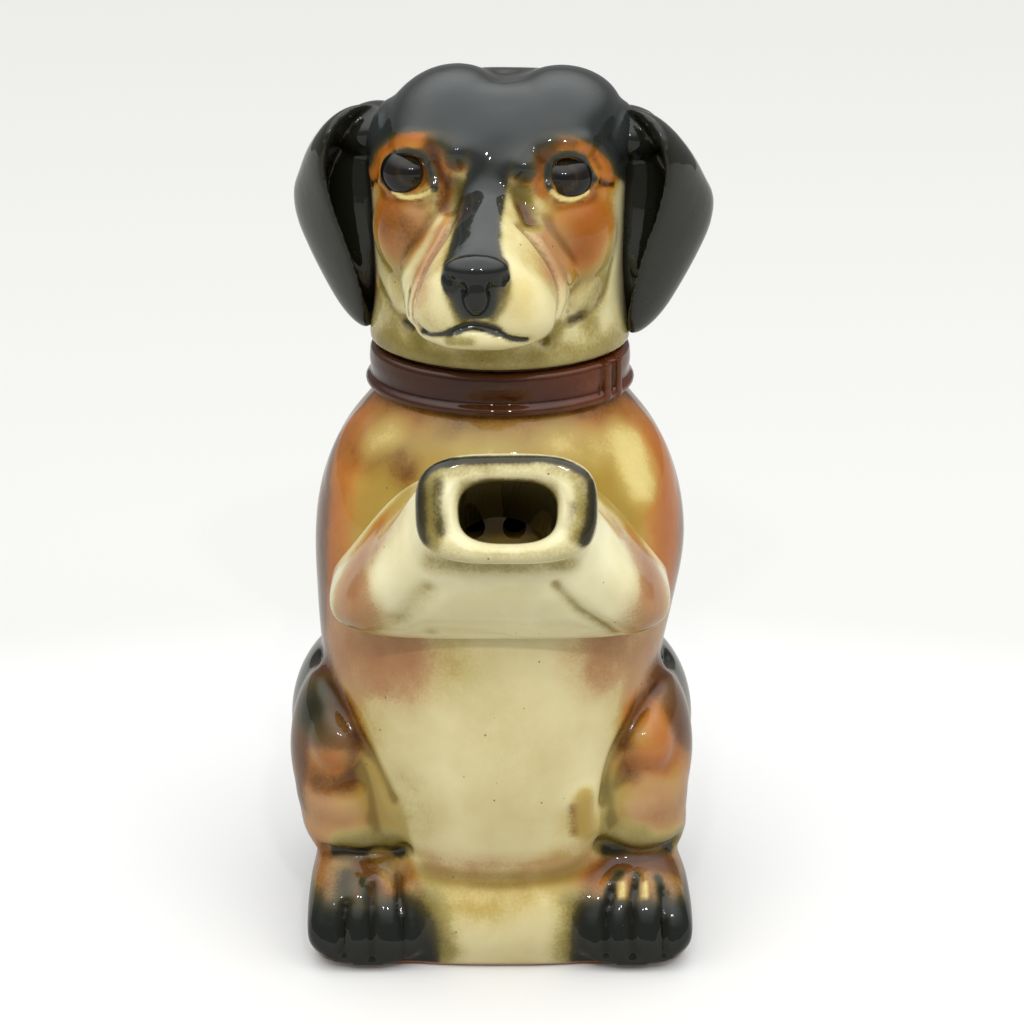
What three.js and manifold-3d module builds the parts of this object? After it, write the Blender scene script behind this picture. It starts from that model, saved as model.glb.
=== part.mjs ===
// Dachshund teapot in glazed earthenware: a begging dog whose forelegs are the spout, whose tail is the
// handle and whose head lifts off as the lid. Millimetres, +Z up, the dog faces -Y, and the origin is the
// centre of the flat base. Each clay casting that the potter sticks to its neighbour is a mesh of its own.
import * as THREE from 'three';
import { mergeVertices } from 'three/addons/utils/BufferGeometryUtils.js';
import Module from 'manifold-3d';

// Pot: the hollow torso with haunches, hind feet and neck
const rimHeight = 144.4; // table to the rim that the head rests on
const torsoHalfWidth = 45;
const torsoFrontDepth = 47.5; // from the upright axis to the belly
const torsoBackDepth = 45.5; // from the upright axis to the back
const potWall = 4.6;
const floorThickness = 5.5;
const neckRadius = 28.4;
const mouthRadius = 24.8; // bore that the lid's flange drops into
const haunchHalfWidth = 19.5;
const haunchHalfLength = 36;
const haunchHalfHeight = 21.5;
const kneeRadius = 12.6;
const ankleRadius = 13;
const footHalfWidth = 14.8;
const footLength = 38.5;
const footHeight = 27;
const footSpread = 31.5; // from the middle to each foot
const footReach = 48.5; // from the upright axis to the tips of the toes
const toeGroove = 1.8;
const upperArmRadius = 13.5;
const softJoint = 7; // how widely one modelled form melts into the next

// Collar strap round the neck
const collarHeight = 10;
const collarThickness = 3.4;
const collarRounding = 1.4;
const keeperWidth = 3.2; // raised loop that holds the strap's end
const keeperRise = 0.9;
const keeperSpacing = 9;
const keeperTurn = -34; // degrees round from the dog's left side to the first loop

// Foreleg casting with the spout
const spoutReach = 70; // from the upright axis to the middle of the mouth
const spoutDrop = 19.4; // from the rim down to the middle of the mouth
const spoutRise = 20; // degrees that the mouth looks up
const spoutMouthWidth = 20;
const spoutMouthHeight = 13.4;
const spoutLipWidth = 39.5; // outside of the rolled lip
const spoutLipHeight = 24;
const spoutLipDepth = 9;
const armsHalfWidth = 34.5; // half way up the forelegs, where they leave the chest
const armsHalfHeight = 19.5;
const armsDrop = 21.5; // from the mouth's middle down to theirs there

// Strainer pierced through the pot's front wall behind the spout
const strainerHoleDiameter = 5.4;
const strainerPitch = 8.7;
const strainerDrop = 22.4; // from the mouth's middle down to the middle hole

// Tail that is the handle
const tailRootRadius = 8.4;
const tailTipRadius = 5.4;
const handleReach = 80; // from the upright axis to the middle of the grip
const handleBottom = 36; // table to the tail's root
const handleDrop = 32.4; // from the rim down to the tail's tip

// Head that is the lid, measured from its seat and its own upright axis
const headHeight = 65.3;
const headHalfWidth = 28;
const headFrontDepth = 28.5;
const headBackDepth = 28.5;
const headWall = 4.2;
const skirtRadius = 31;
const noseReach = 56; // from the axis to the tip of the nose
const muzzleHalfWidth = 15.8;
const muzzleHeight = 20.5;
const noseWidth = 13.6;
const eyeWidth = 11.4;
const eyeSpacing = 32.6;
const headTurn = -5.3; // degrees that the head is turned in its seat

// Flange that keeps the head in the neck
const flangeClearance = 0.7;
const flangeWall = 3.4;
const flangeDepth = 12;

// Ears
const earHeight = 53;
const earDepth = 32; // front to back
const earThickness = 15;
const earStandOff = 21.5; // from the head's side to the ear's outside

// Fit between any two castings
const seatGap = 0.3;
const overrun = 2; // how far a cutting tool passes the face that it opens

// Heights that follow from the rim's
const spoutHeight = rimHeight - spoutDrop;
const armsHeight = spoutHeight - armsDrop;
const strainerHeight = spoutHeight - strainerDrop;
const handleTop = rimHeight - handleDrop;

const wasm = await Module();
wasm.setup();
const { clamp, degToRad, lerp, smoothstep } = THREE.MathUtils;
const times = (shares, sizes) => shares.map((share, i) => share * sizes[i]);
const scaled = (shares, size) => shares.map((share) => share * size);
const sum = (...places) => places.reduce((total, place) => total.map((value, i) => value + place[i]));

// A form is a function that gives the distance from a point to a surface, negative inside it.
// Places and radii are [x, y, z], and lean tips a form about X, nose up when positive.
function ellipsoid(centre, radii, lean = 0) {
  const cos = Math.cos(degToRad(lean));
  const sin = Math.sin(degToRad(lean));
  return (x, y, z) => {
    const px = (x - centre[0]) / radii[0];
    const py = ((y - centre[1]) * cos - (z - centre[2]) * sin) / radii[1];
    const pz = ((y - centre[1]) * sin + (z - centre[2]) * cos) / radii[2];
    const near = Math.hypot(px, py, pz);
    const slope = Math.hypot(px / radii[0], py / radii[1], pz / radii[2]);
    return slope === 0 ? -Math.min(...radii) : (near * (near - 1)) / slope;
  };
}

// A limb is a cone with a ball at each end
function limb(start, startRadius, end, endRadius) {
  const way = end.map((value, i) => value - start[i]);
  const length2 = way.reduce((total, value) => total + value * value, 0);
  return (x, y, z) => {
    const from = [x - start[0], y - start[1], z - start[2]];
    const along = clamp(from.reduce((total, value, i) => total + value * way[i], 0) / length2, 0, 1);
    const away = Math.hypot(...from.map((value, i) => value - along * way[i]));
    return away - lerp(startRadius, endRadius, along);
  };
}

const pair = (form) => [form, (x, y, z) => form(-x, y, z)];

// Clay pressed together: the forms melt into each other over the given width
function meld(width, ...forms) {
  return (x, y, z) =>
    forms.reduce((nearest, form) => {
      const next = form(x, y, z);
      const reach = Math.max(width - Math.abs(nearest - next), 0) / width;
      return Math.min(nearest, next) - (reach * reach * width) / 4;
    }, Infinity);
}

// A hollow pressed into the clay by tools of the given forms
function press(width, clay, ...tools) {
  return (x, y, z) =>
    tools.reduce((nearest, tool) => {
      const hollow = -tool(x, y, z);
      const reach = Math.max(width - Math.abs(nearest - hollow), 0) / width;
      return Math.max(nearest, hollow) + (reach * reach * width) / 4;
    }, clay(x, y, z));
}

// Smooth value between the rows of a table whose first column is the height
function between(rows, height, column) {
  const last = rows.length - 1;
  const h = clamp(height, rows[0][0], rows[last][0]);
  let i = 0;
  while (i < last - 1 && rows[i + 1][0] < h) i += 1;
  const slopeAt = (n) => {
    const before = rows[Math.max(n - 1, 0)];
    const after = rows[Math.min(n + 1, last)];
    return (after[column] - before[column]) / (after[0] - before[0]);
  };
  const span = rows[i + 1][0] - rows[i][0];
  const rise = rows[i + 1][column] - rows[i][column];
  const t = (h - rows[i][0]) / span;
  const bend = (slopeAt(i) * span - rise) * (1 - t) + (rise - slopeAt(i + 1) * span) * t;
  return rows[i][column] + rise * t + bend * t * (1 - t);
}

// Closed mesh over rings of points, each ring turning anticlockwise as seen from the end point
function loft(rings, startPoint, endPoint) {
  const sectors = rings[0].length;
  const last = rings.length - 1;
  const points = [startPoint, ...rings.flat(), endPoint];
  const at = (ring, sector) => 1 + ring * sectors + (sector % sectors);
  const faces = [];
  for (let s = 0; s < sectors; s += 1) {
    faces.push(0, at(0, s + 1), at(0, s));
    faces.push(at(last, s), at(last, s + 1), points.length - 1);
    for (let r = 0; r < last; r += 1) {
      faces.push(at(r, s), at(r, s + 1), at(r + 1, s));
      faces.push(at(r + 1, s), at(r, s + 1), at(r + 1, s + 1));
    }
  }
  const places = points.flatMap((point) => point.toArray());
  const geometry = new THREE.BufferGeometry();
  geometry.setAttribute('position', new THREE.Float32BufferAttribute(places, 3));
  geometry.setIndex(faces);
  return solid(geometry);
}

const centreOf = (ring) =>
  ring.reduce((total, point) => total.add(point), new THREE.Vector3()).divideScalar(ring.length);

// A squared oval section whose top tips towards the dog's back by lean, in degrees, and is narrower than its
// bottom by the taper's share
function section(place, halfWidth, halfHeight, { lean = 0, taperShare = 0, power = 2.6, sectors = 24 }) {
  const lift = new THREE.Vector3(0, Math.sin(degToRad(lean)), Math.cos(degToRad(lean)));
  const squared = (value) => Math.sign(value) * Math.abs(value) ** (2 / power);
  const ring = [];
  for (let s = 0; s < sectors; s += 1) {
    const turn = (s / sectors) * 2 * Math.PI;
    const up = squared(Math.sin(turn));
    const across = squared(Math.cos(turn)) * (1 - taperShare * up) * halfWidth;
    ring.push(new THREE.Vector3(...place).addScaledVector(lift, up * halfHeight).setX(across));
  }
  return ring;
}

// Skin over a form, found by rays that go out in rings from an axis inside it.
// Proud is how far the skin stands off the form, and pole closes the last ring on the form's top.
const stepShare = 0.75; // of the distance to the form that one step towards it takes
const closeEnough = 0.003;
const mostSteps = 200;

function touch(form, { origin, direction }, reach, proud) {
  const way = direction.normalize();
  let t = reach;
  for (let step = 0; step < mostSteps; step += 1) {
    const point = way.clone().multiplyScalar(t).add(origin);
    const gap = form(point.x, point.y, point.z) - proud;
    if (gap < closeEnough) break;
    t = Math.max(t - gap * stepShare, closeEnough);
  }
  return way.multiplyScalar(t).add(origin);
}

function skin(form, rays, { rings, sectors, reach, proud = 0, pole = false }) {
  const made = [];
  for (let r = 0; r < rings; r += 1) {
    const ring = [];
    for (let s = 0; s < sectors; s += 1) {
      ring.push(touch(form, rays(r / (rings - 1), (s / sectors) * 2 * Math.PI), reach, proud));
    }
    made.push(ring);
  }
  const up = { origin: rays(1, 0).origin, direction: new THREE.Vector3(0, 0, 1) };
  const end = pole ? touch(form, up, reach, proud) : centreOf(made[rings - 1]);
  return loft(made, centreOf(made[0]), end);
}

// Sectors lie closer together at the dog's front, where its feet and face are
const frontCrowdingShare = 0.4;
const crowded = (turn) => turn - frontCrowdingShare * (Math.cos(turn) - 1);

function solid(geometry) {
  const plain = geometry.clone();
  plain.deleteAttribute('normal');
  plain.deleteAttribute('uv');
  const merged = mergeVertices(plain);
  const vertProperties = merged.attributes.position.array;
  const triVerts = new Uint32Array(merged.index.array);
  return new wasm.Manifold(new wasm.Mesh({ numProp: 3, vertProperties, triVerts }));
}

// Turned solid from a profile of [radius, height] points
function turned(profile, segments) {
  const outline = profile.map(([radius, height]) => new THREE.Vector2(radius, height));
  return solid(new THREE.LatheGeometry(outline, segments).rotateX(Math.PI / 2));
}

const rod = (radius, bottom, top, segments) =>
  turned([[0, bottom], [radius, bottom], [radius, top], [0, top]], segments);

const cut = (clay, ...tools) => tools.reduce((left, tool) => left.subtract(tool), clay);

// An upright column through sections. The shares are of its height, half width, front depth and back depth,
// and the last column of a table squares the section.
function column(shares, [height, halfWidth, frontDepth, backDepth]) {
  const sizes = [height, halfWidth, frontDepth, backDepth, 1];
  const rows = shares.map((row) => times(row, sizes));
  const top = rows[rows.length - 1][0];
  return (x, y, z) => {
    const power = between(rows, z, 4);
    const width = between(rows, z, 1);
    const depth = between(rows, z, y < 0 ? 2 : 3);
    const far = Math.hypot(x, y);
    const squared = ((Math.abs(x) / width) ** power + (Math.abs(y) / depth) ** power) ** (1 / power);
    return Math.max(far === 0 ? -Math.min(width, depth) : far * (1 - 1 / squared), z - top);
  };
}

const torsoShares = [
  [0, 0.955, 0.965, 0.92, 3.2],
  [0.055, 0.985, 1, 0.945, 3],
  [0.11, 0.955, 0.98, 0.965, 2.8],
  [0.156, 0.885, 0.915, 0.98, 2.5],
  [0.235, 0.865, 0.965, 0.99, 2.3],
  [0.346, 0.9, 1, 1, 2.2],
  [0.457, 0.93, 0.99, 0.995, 2.2],
  [0.554, 0.97, 0.945, 0.965, 2.2],
  [0.665, 1, 0.9, 0.925, 2.2],
  [0.762, 0.96, 0.85, 0.87, 2.15],
  [0.845, 0.845, 0.77, 0.78, 2.1],
  [0.907, 0.7, 0.665, 0.68, 2],
  [0.942, 0.62, 0.58, 0.595, 2],
];
const torso = column(torsoShares, [rimHeight, torsoHalfWidth, torsoFrontDepth, torsoBackDepth]);
const neck = limb([0, 0, rimHeight / 2], neckRadius, [0, 0, rimHeight + neckRadius], neckRadius);

// Limbs on the torso, with their places as shares of its half width, front depth and rim height
const potSize = [torsoHalfWidth, torsoFrontDepth, rimHeight];
const hipPlace = times([0.7, -0.02, 0.297], potSize);
const kneePlace = times([0.8, -0.62, 0.35], potSize);
const anklePlace = times([0.71, -0.62, 0.21], potSize);
const shoulderPlace = times([0.62, -0.22, 0.82], potSize);
const elbowPlace = times([0.66, -0.56, 0.67], potSize);
const elbowShare = 0.85; // of the upper arm's radius
const haunchLean = 8; // degrees that the haunch rises to the knee
const tightShare = 0.25; // of the soft joint, where two forms meet at a crisp line

const haunches = [
  ...pair(ellipsoid(hipPlace, [haunchHalfWidth, haunchHalfLength, haunchHalfHeight], haunchLean)),
  ...pair(limb(kneePlace, kneeRadius, anklePlace, ankleRadius)),
];
const upperArms = pair(limb(shoulderPlace, upperArmRadius, elbowPlace, upperArmRadius * elbowShare));

const trunk = meld(softJoint, torso, ...upperArms);
const hollowTrunk = meld(softJoint, torso, ...haunches, neck);
const pot = meld(softJoint * tightShare, meld(softJoint, trunk, ...haunches), neck);

// Foot: sections from the heel to the tips of the toes, as shares of its length, half width and height.
// Four ridges rise out of it towards the front, with grooves between them.
const footShares = [
  [0, 0.8, 0.85],
  [0.3, 0.97, 1],
  [0.55, 1, 0.96],
  [0.72, 1, 0.86],
  [0.84, 1, 0.74],
  [0.93, 0.98, 0.58],
  [0.98, 0.93, 0.42],
  [1, 0.86, 0.26],
];
const toeCount = 4;
const toeFacets = 8;
const footPower = 2.7; // squares the section
const ridgePower = 0.5; // rounds the toes' tops and narrows the grooves
const grooveShares = [0.4, 0.8]; // of the foot's length, where the grooves start and reach their full depth

function foot(side) {
  const steps = toeFacets * toeCount;
  const rings = footShares.map(([along, wide, high]) => {
    const ring = [];
    for (let n = 0; n <= steps; n += 1) {
      const turn = (n / steps) * Math.PI;
      const across = Math.sign(Math.cos(turn)) * Math.abs(Math.cos(turn)) ** (2 / footPower);
      const ridge = Math.abs(Math.sin((toeCount / 2) * Math.PI * (across + 1))) ** ridgePower;
      const groove = toeGroove * (1 - ridge) * smoothstep(along, ...grooveShares) * Math.sin(turn);
      const rise = Math.sin(turn) ** (2 / footPower) * high * footHeight;
      const x = side * footSpread + across * wide * footHalfWidth;
      const y = (1 - along) * footLength - footReach + groove;
      ring.push(new THREE.Vector3(x, y, Math.max(rise - groove, 0)));
    }
    return ring;
  });
  return loft(rings, centreOf(rings[0]), centreOf(rings[rings.length - 1]));
}

function potRays(share, turn) {
  const angle = crowded(turn);
  const origin = new THREE.Vector3(0, 0, share * rimHeight);
  return { origin, direction: new THREE.Vector3(Math.cos(angle), Math.sin(angle), 0) };
}

const potFacets = { rings: 40, sectors: 44 };
const potSkin = (proud) => skin(pot, potRays, { ...potFacets, reach: 2 * torsoHalfWidth, proud });

// The chamber follows the torso, haunches and neck one wall further in, as slip casts in a mould
const chamberTop = rimHeight - collarHeight;
const chamberFacets = { rings: 12, sectors: 24 };

function chamber() {
  const rays = (share, turn) => ({
    origin: new THREE.Vector3(0, 0, lerp(floorThickness, chamberTop, share)),
    direction: new THREE.Vector3(Math.cos(turn), Math.sin(turn), 0),
  });
  return skin(hollowTrunk, rays, { ...chamberFacets, reach: 2 * torsoHalfWidth, proud: -potWall });
}

// Seven holes in a hexagon, straight through the front wall where the spout's passage starts
function strainerHoles() {
  const holes = [];
  for (const row of [-1, 0, 1]) {
    const count = 3 - Math.abs(row);
    for (let n = 0; n < count; n += 1) {
      const radius = strainerHoleDiameter / 2;
      const hole = new THREE.CylinderGeometry(radius, radius, torsoFrontDepth, 12);
      const x = (n - (count - 1) / 2) * strainerPitch;
      const z = strainerHeight + row * strainerPitch * Math.sin(Math.PI / 3);
      holes.push(solid(hole.translate(x, -torsoFrontDepth, z)));
    }
  }
  return holes;
}

function potBody() {
  const mouth = rod(mouthRadius, chamberTop - overrun, rimHeight + overrun, 48);
  const clay = potSkin(0).add(foot(-1)).add(foot(1));
  return cut(clay, chamber(), mouth, ...strainerHoles());
}

// What is luted to the pot is cut by a skin that stands proud of it by the gap
const potSeat = potSkin(seatGap);

function collar() {
  const outer = neckRadius + seatGap + collarThickness;
  const top = rimHeight - seatGap;
  const bottom = top - collarHeight;
  const profile = [
    [mouthRadius, bottom],
    [outer - collarRounding, bottom],
    [outer, bottom + collarRounding],
    [outer - collarRounding / 2, bottom + 2 * collarRounding],
    [outer - collarRounding / 2, top - collarRounding],
    [outer - collarRounding, top],
    [mouthRadius, top],
    [mouthRadius, bottom],
  ];
  const keeperDepth = outer - neckRadius + keeperRise;
  const keepers = [0, 1].map((n) => {
    const angle = degToRad(keeperTurn) + (n * keeperSpacing) / outer;
    const loop = new THREE.BoxGeometry(keeperDepth, keeperWidth, collarHeight);
    return solid(loop.translate(neckRadius + keeperDepth / 2, 0, (top + bottom) / 2).rotateZ(angle));
  });
  const strap = keepers.reduce((clay, keeper) => clay.add(keeper), turned(profile, 48));
  return cut(strap, potSeat);
}

// Forelegs held together in front, with the spout's lip between the paws.
// The shares are the section's place along the spout's reach and up from elbows to mouth,
// its width and height against the elbows', its taper and its lean
const armShares = [
  [0.17, 0, 1, 1, 0.36, 0],
  [0.42, 0, 1, 1, 0.36, 0],
  [0.56, 0, 0.99, 0.98, 0.35, 0.05],
  [0.66, 0.03, 0.94, 0.93, 0.33, 0.15],
  [0.74, 0.22, 0.83, 0.85, 0.27, 0.45],
  [0.81, 0.52, 0.68, 0.73, 0.16, 0.8],
];

const armPower = 3; // squares the forelegs' section
const lipPower = 3.2;
const mouthPower = 2.8;
const flareShares = [1.2, 1.24]; // of the mouth's width and height, at its rounded edge
const throatShare = 0.25; // of the lip's depth, where the flare starts

// Rolled lip round the mouth: shares of its depth behind the mouth, and of its width and height
const lipShares = [
  [1, 0.93, 0.92],
  [0.75, 0.985, 0.985],
  [0.4, 1, 1],
  [0.12, 0.97, 0.96],
  [0, 0.89, 0.86],
  [0, 0.72, 0.76],
];

function forelegSpout() {
  const back = new THREE.Vector3(0, Math.cos(degToRad(spoutRise)), -Math.sin(degToRad(spoutRise)));
  const mouthPlace = new THREE.Vector3(0, -spoutReach, spoutHeight);
  const behindMouth = (depth) => back.clone().multiplyScalar(depth).add(mouthPlace);
  const arms = armShares.map(([along, rise, wide, high, taperShare, leanShare]) => {
    const place = [0, -along * spoutReach, lerp(armsHeight, spoutHeight, rise)];
    const options = { lean: leanShare * spoutRise, taperShare, power: armPower, sectors: 40 };
    return section(place, wide * armsHalfWidth, high * armsHalfHeight, options);
  });
  const lip = lipShares.map(([depth, wide, high]) => {
    const place = behindMouth(depth * spoutLipDepth);
    const options = { lean: spoutRise, power: lipPower, sectors: 40 };
    return section(place, (wide * spoutLipWidth) / 2, (high * spoutLipHeight) / 2, options);
  });
  const clay = loft([...arms, ...lip], centreOf(arms[0]), behindMouth(0));

  const strainerReach = strainerPitch + strainerHoleDiameter;
  const mouthOptions = { lean: spoutRise, power: mouthPower };
  const mouthSizes = [spoutMouthWidth / 2, spoutMouthHeight / 2];
  const narrow = (depth) => section(behindMouth(depth), ...mouthSizes, mouthOptions);
  const flared = (depth) => section(behindMouth(depth), ...times(flareShares, mouthSizes), mouthOptions);
  const atStrainer = (reach) => section([0, -reach, strainerHeight], strainerReach, strainerReach, {});
  const passageRings = [
    atStrainer(0),
    atStrainer(torsoFrontDepth),
    narrow(spoutLipDepth),
    narrow(spoutLipDepth * throatShare),
    flared(0),
    flared(-overrun),
  ];
  const passage = loft(passageRings, centreOf(passageRings[0]), behindMouth(-overrun));
  return cut(clay, potSeat, passage);
}

// Tail: sections along a curve from the rump out and up to between the shoulders.
// The shares are of the handle's reach, and of its height from root to tip.
const tailShares = [
  [0.42, 0],
  [0.8, 0.02],
  [0.99, 0.3],
  [0.97, 0.66],
  [0.76, 0.93],
  [0.36, 1.03],
];

function tail() {
  const places = tailShares.map(
    ([reach, rise]) => new THREE.Vector3(0, reach * handleReach, lerp(handleBottom, handleTop, rise)),
  );
  const path = new THREE.CatmullRomCurve3(places);
  const count = 22;
  const sectors = 12;
  const across = new THREE.Vector3(1, 0, 0);
  const rings = [];
  for (let r = 0; r < count; r += 1) {
    const share = r / (count - 1);
    const radius = lerp(tailRootRadius, tailTipRadius, share);
    const up = path.getTangentAt(share).cross(across);
    const ring = [];
    for (let s = 0; s < sectors; s += 1) {
      const turn = (s / sectors) * 2 * Math.PI;
      const offset = across.clone().multiplyScalar(Math.cos(turn)).addScaledVector(up, Math.sin(turn));
      ring.push(path.getPointAt(share).addScaledVector(offset, radius));
    }
    rings.push(ring);
  }
  return cut(loft(rings, centreOf(rings[0]), centreOf(rings[count - 1])), potSeat);
}

// Head forms, with places as shares of its half width, front depth and height
const headShares = [
  [0, skirtRadius / headHalfWidth, skirtRadius / headFrontDepth, skirtRadius / headBackDepth, 2],
  [0.05, 1.09, 1.07, 1.07, 2],
  [0.13, 0.96, 0.97, 1.01, 2],
  [0.25, 0.88, 0.94, 0.96, 2.1],
  [0.37, 0.93, 1, 0.95, 2.2],
  [0.52, 1, 0.96, 0.97, 2.2],
  [0.66, 1, 0.92, 1, 2.2],
  [0.78, 0.95, 0.82, 0.96, 2.1],
];
const headSize = [headHalfWidth, headFrontDepth, headHeight];
const eyeShares = [-0.71, 0.655]; // of the head's front depth and height
const eyePlace = [eyeSpacing / 2, ...times(eyeShares, [headFrontDepth, headHeight])];
const eyeRadii = scaled([0.5, 0.5, 0.43], eyeWidth);
const browShares = [-0.2, 0.12, 0.6]; // of the eye's width, from the eye to its brow
const noseRadii = scaled([0.5, 0.42, 0.46], noseWidth);
const noseHeightShare = 0.375; // of the head's height
const nosePlace = [0, noseRadii[1] - noseReach, headHeight * noseHeightShare];

const browJointShare = 0.6; // of the soft joint

function headForm() {
  const onHead = (place, radii) => ellipsoid(times(place, headSize), times(radii, headSize));
  const skull = column(headShares, [headHeight, headHalfWidth, headFrontDepth, headBackDepth]);
  const dome = onHead([0, 0.1, 0.66], [0.93, 0.9, 0.32]);
  const crowns = pair(onHead([0.41, -0.05, 0.77], [0.56, 0.74, 0.21]));
  const cheeks = pair(onHead([0.5, -0.42, 0.5], [0.5, 0.5, 0.2]));
  const browPlace = sum(eyePlace, scaled(browShares, eyeWidth));
  const brows = pair(ellipsoid(browPlace, scaled([0.75, 0.5, 0.36], eyeWidth)));
  const bone = meld(softJoint, skull, dome, ...crowns, ...cheeks);
  return meld(softJoint * browJointShare, bone, ...brows);
}

// Muzzle sections from inside the face to the nose. The shares are the place along the nose's reach and up
// the head's height, the half width and half height, and the taper towards the bridge.
const muzzlePower = 2.2; // squares its section
const muzzleShares = [
  [0.25, 0.46, 1.15, 1.5, 0.45],
  [0.42, 0.44, 1.1, 1.45, 0.5],
  [0.56, 0.4, 1.05, 1.36, 0.52],
  [0.7, 0.36, 1, 1.25, 0.5],
  [0.82, 0.335, 0.93, 1.16, 0.45],
  [0.9, 0.325, 0.8, 1.02, 0.36],
  [0.95, 0.325, 0.56, 0.74, 0.25],
];

function muzzle() {
  const rings = muzzleShares.map(([along, up, wide, high, taperShare]) => {
    const place = [0, -along * noseReach, up * headHeight];
    const options = { taperShare, power: muzzlePower, sectors: 28 };
    return section(place, wide * muzzleHalfWidth, (high * muzzleHeight) / 2, options);
  });
  return loft(rings, centreOf(rings[0]), centreOf(rings[rings.length - 1]));
}

// Rays go out level to the height of the eyes, and from there fan up to the crown
const levelShare = 0.62; // of the rings
const levelHeightShare = 0.6; // of the head's height
const poleAngle = 84; // degrees of the last ring

function headRays(bottom) {
  return (share, turn) => {
    const height = lerp(bottom, headHeight * levelHeightShare, Math.min(share / levelShare, 1));
    const angle = crowded(turn);
    const rise = degToRad(poleAngle) * Math.max((share - levelShare) / (1 - levelShare), 0);
    const direction = new THREE.Vector3(Math.cos(angle), Math.sin(angle), 0).multiplyScalar(Math.cos(rise));
    return { origin: new THREE.Vector3(0, 0, height), direction: direction.setZ(Math.sin(rise)) };
  };
}

const head = headForm();
const headFacets = { rings: 32, sectors: 40 };
const hollowFacets = { rings: 12, sectors: 20 };
const headSkin = (bottom, facets, proud) =>
  skin(head, headRays(bottom), { ...facets, reach: 2 * noseReach, proud, pole: true });
const headOutside = (proud) => headSkin(0, headFacets, proud);

function ball(place, radii) {
  const round = new THREE.SphereGeometry(1, 14, 10);
  return solid(round.scale(...radii).translate(...place));
}

function headLid() {
  const flangeRadius = mouthRadius - flangeClearance;
  const boreRadius = flangeRadius - flangeWall;
  const flange = cut(
    rod(flangeRadius, -flangeDepth, headWall / 2, 48),
    rod(boreRadius, -flangeDepth - overrun, headWall, 48),
  );
  const bore = rod(boreRadius, -overrun, headWall + overrun, 48);
  const eyes = [-1, 1].map((side) => ball([side * eyePlace[0], eyePlace[1], eyePlace[2]], eyeRadii));
  const features = [muzzle(), ball(nosePlace, noseRadii), ...eyes];
  const face = features.reduce((clay, feature) => clay.add(feature), headOutside(0));
  return cut(face, headSkin(headWall, hollowFacets, -headWall), bore).add(flange);
}

// Ears hang from the sides of the skull, bow outwards and come back in to the throat at their tips.
// The shares of each lobe are its place out from the head's side, back and up, then its thickness, depth
// and height.
const earShares = [
  [0.23, 0.05, 0.78, 0.84, 0.85, 0.21],
  [0.5, 0.12, 0.55, 0.74, 1, 0.33],
  [0.32, 0.02, 0.23, 0.56, 0.78, 0.24],
];

const earBottomShare = 0.03; // of the head's height, where the ear's tip hangs
const earAxisShare = 0.58; // of the ear's stand-off, from the head's side to the axis of the rays
const recessShares = [1.08, -0.38, 0.45]; // of the head's half width, the ear's depth and the head's height
const recessSizeShares = [0.36, 0.42, 0.38]; // of the ear's thickness, depth and height
const earFacets = { rings: 18, sectors: 20 };

function ear(side) {
  const bottom = headHeight * earBottomShare;
  const lobes = earShares.map(([out, back, up, thick, deep, tall]) => {
    const place = [side * (headHalfWidth + out * earStandOff), back * earDepth, bottom + up * earHeight];
    return ellipsoid(place, [thick * earThickness, (deep * earDepth) / 2, tall * earHeight]);
  });
  const axis = side * (headHalfWidth + earStandOff * earAxisShare);
  const rays = (share, turn) => {
    const rise = degToRad(lerp(-poleAngle, poleAngle, share));
    const direction = new THREE.Vector3(Math.cos(turn), Math.sin(turn), 0).multiplyScalar(Math.cos(rise));
    const origin = new THREE.Vector3(axis, 0, bottom + earHeight / 2);
    return { origin, direction: direction.setZ(Math.sin(rise)) };
  };
  const recessPlace = times(recessShares, [side * headHalfWidth, earDepth, headHeight]);
  const recess = ellipsoid(recessPlace, times(recessSizeShares, [earThickness, earDepth, earHeight]));
  const flap = press(softJoint / 2, meld(softJoint, ...lobes), recess);
  const clay = skin(flap, rays, { ...earFacets, reach: earHeight, pole: true });
  return cut(clay, headOutside(seatGap));
}

// Assembly
const glazeRoughness = 0.12;

function mesh(name, manifold, color) {
  const { vertProperties, triVerts } = manifold.getMesh();
  const geometry = new THREE.BufferGeometry();
  geometry.setAttribute('position', new THREE.BufferAttribute(vertProperties, 3));
  geometry.setIndex(new THREE.BufferAttribute(triVerts, 1));
  const glaze = new THREE.MeshStandardMaterial({ color, roughness: glazeRoughness, metalness: 0 });
  const made = new THREE.Mesh(geometry, glaze);
  made.name = name;
  return made;
}

const teapot = new THREE.Group();
teapot.add(
  mesh('pot_body', potBody(), '#b3a669'),
  mesh('collar', collar(), '#4a1d10'),
  mesh('foreleg_spout', forelegSpout(), '#c5c08d'),
  mesh('tail_handle', tail(), '#26241f'),
);
const lid = new THREE.Group();
lid.position.z = rimHeight + seatGap;
lid.rotation.z = degToRad(headTurn);
lid.add(
  mesh('head_lid', headLid(), '#4b4a45'),
  mesh('ear_left', ear(-1), '#1d1d1e'),
  mesh('ear_right', ear(1), '#1d1d1e'),
);
teapot.add(lid);

export default teapot;
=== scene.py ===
import math
from contextlib import contextmanager

import bpy
import numpy as np
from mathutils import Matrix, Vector
from mathutils.bvhtree import BVHTree


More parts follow.
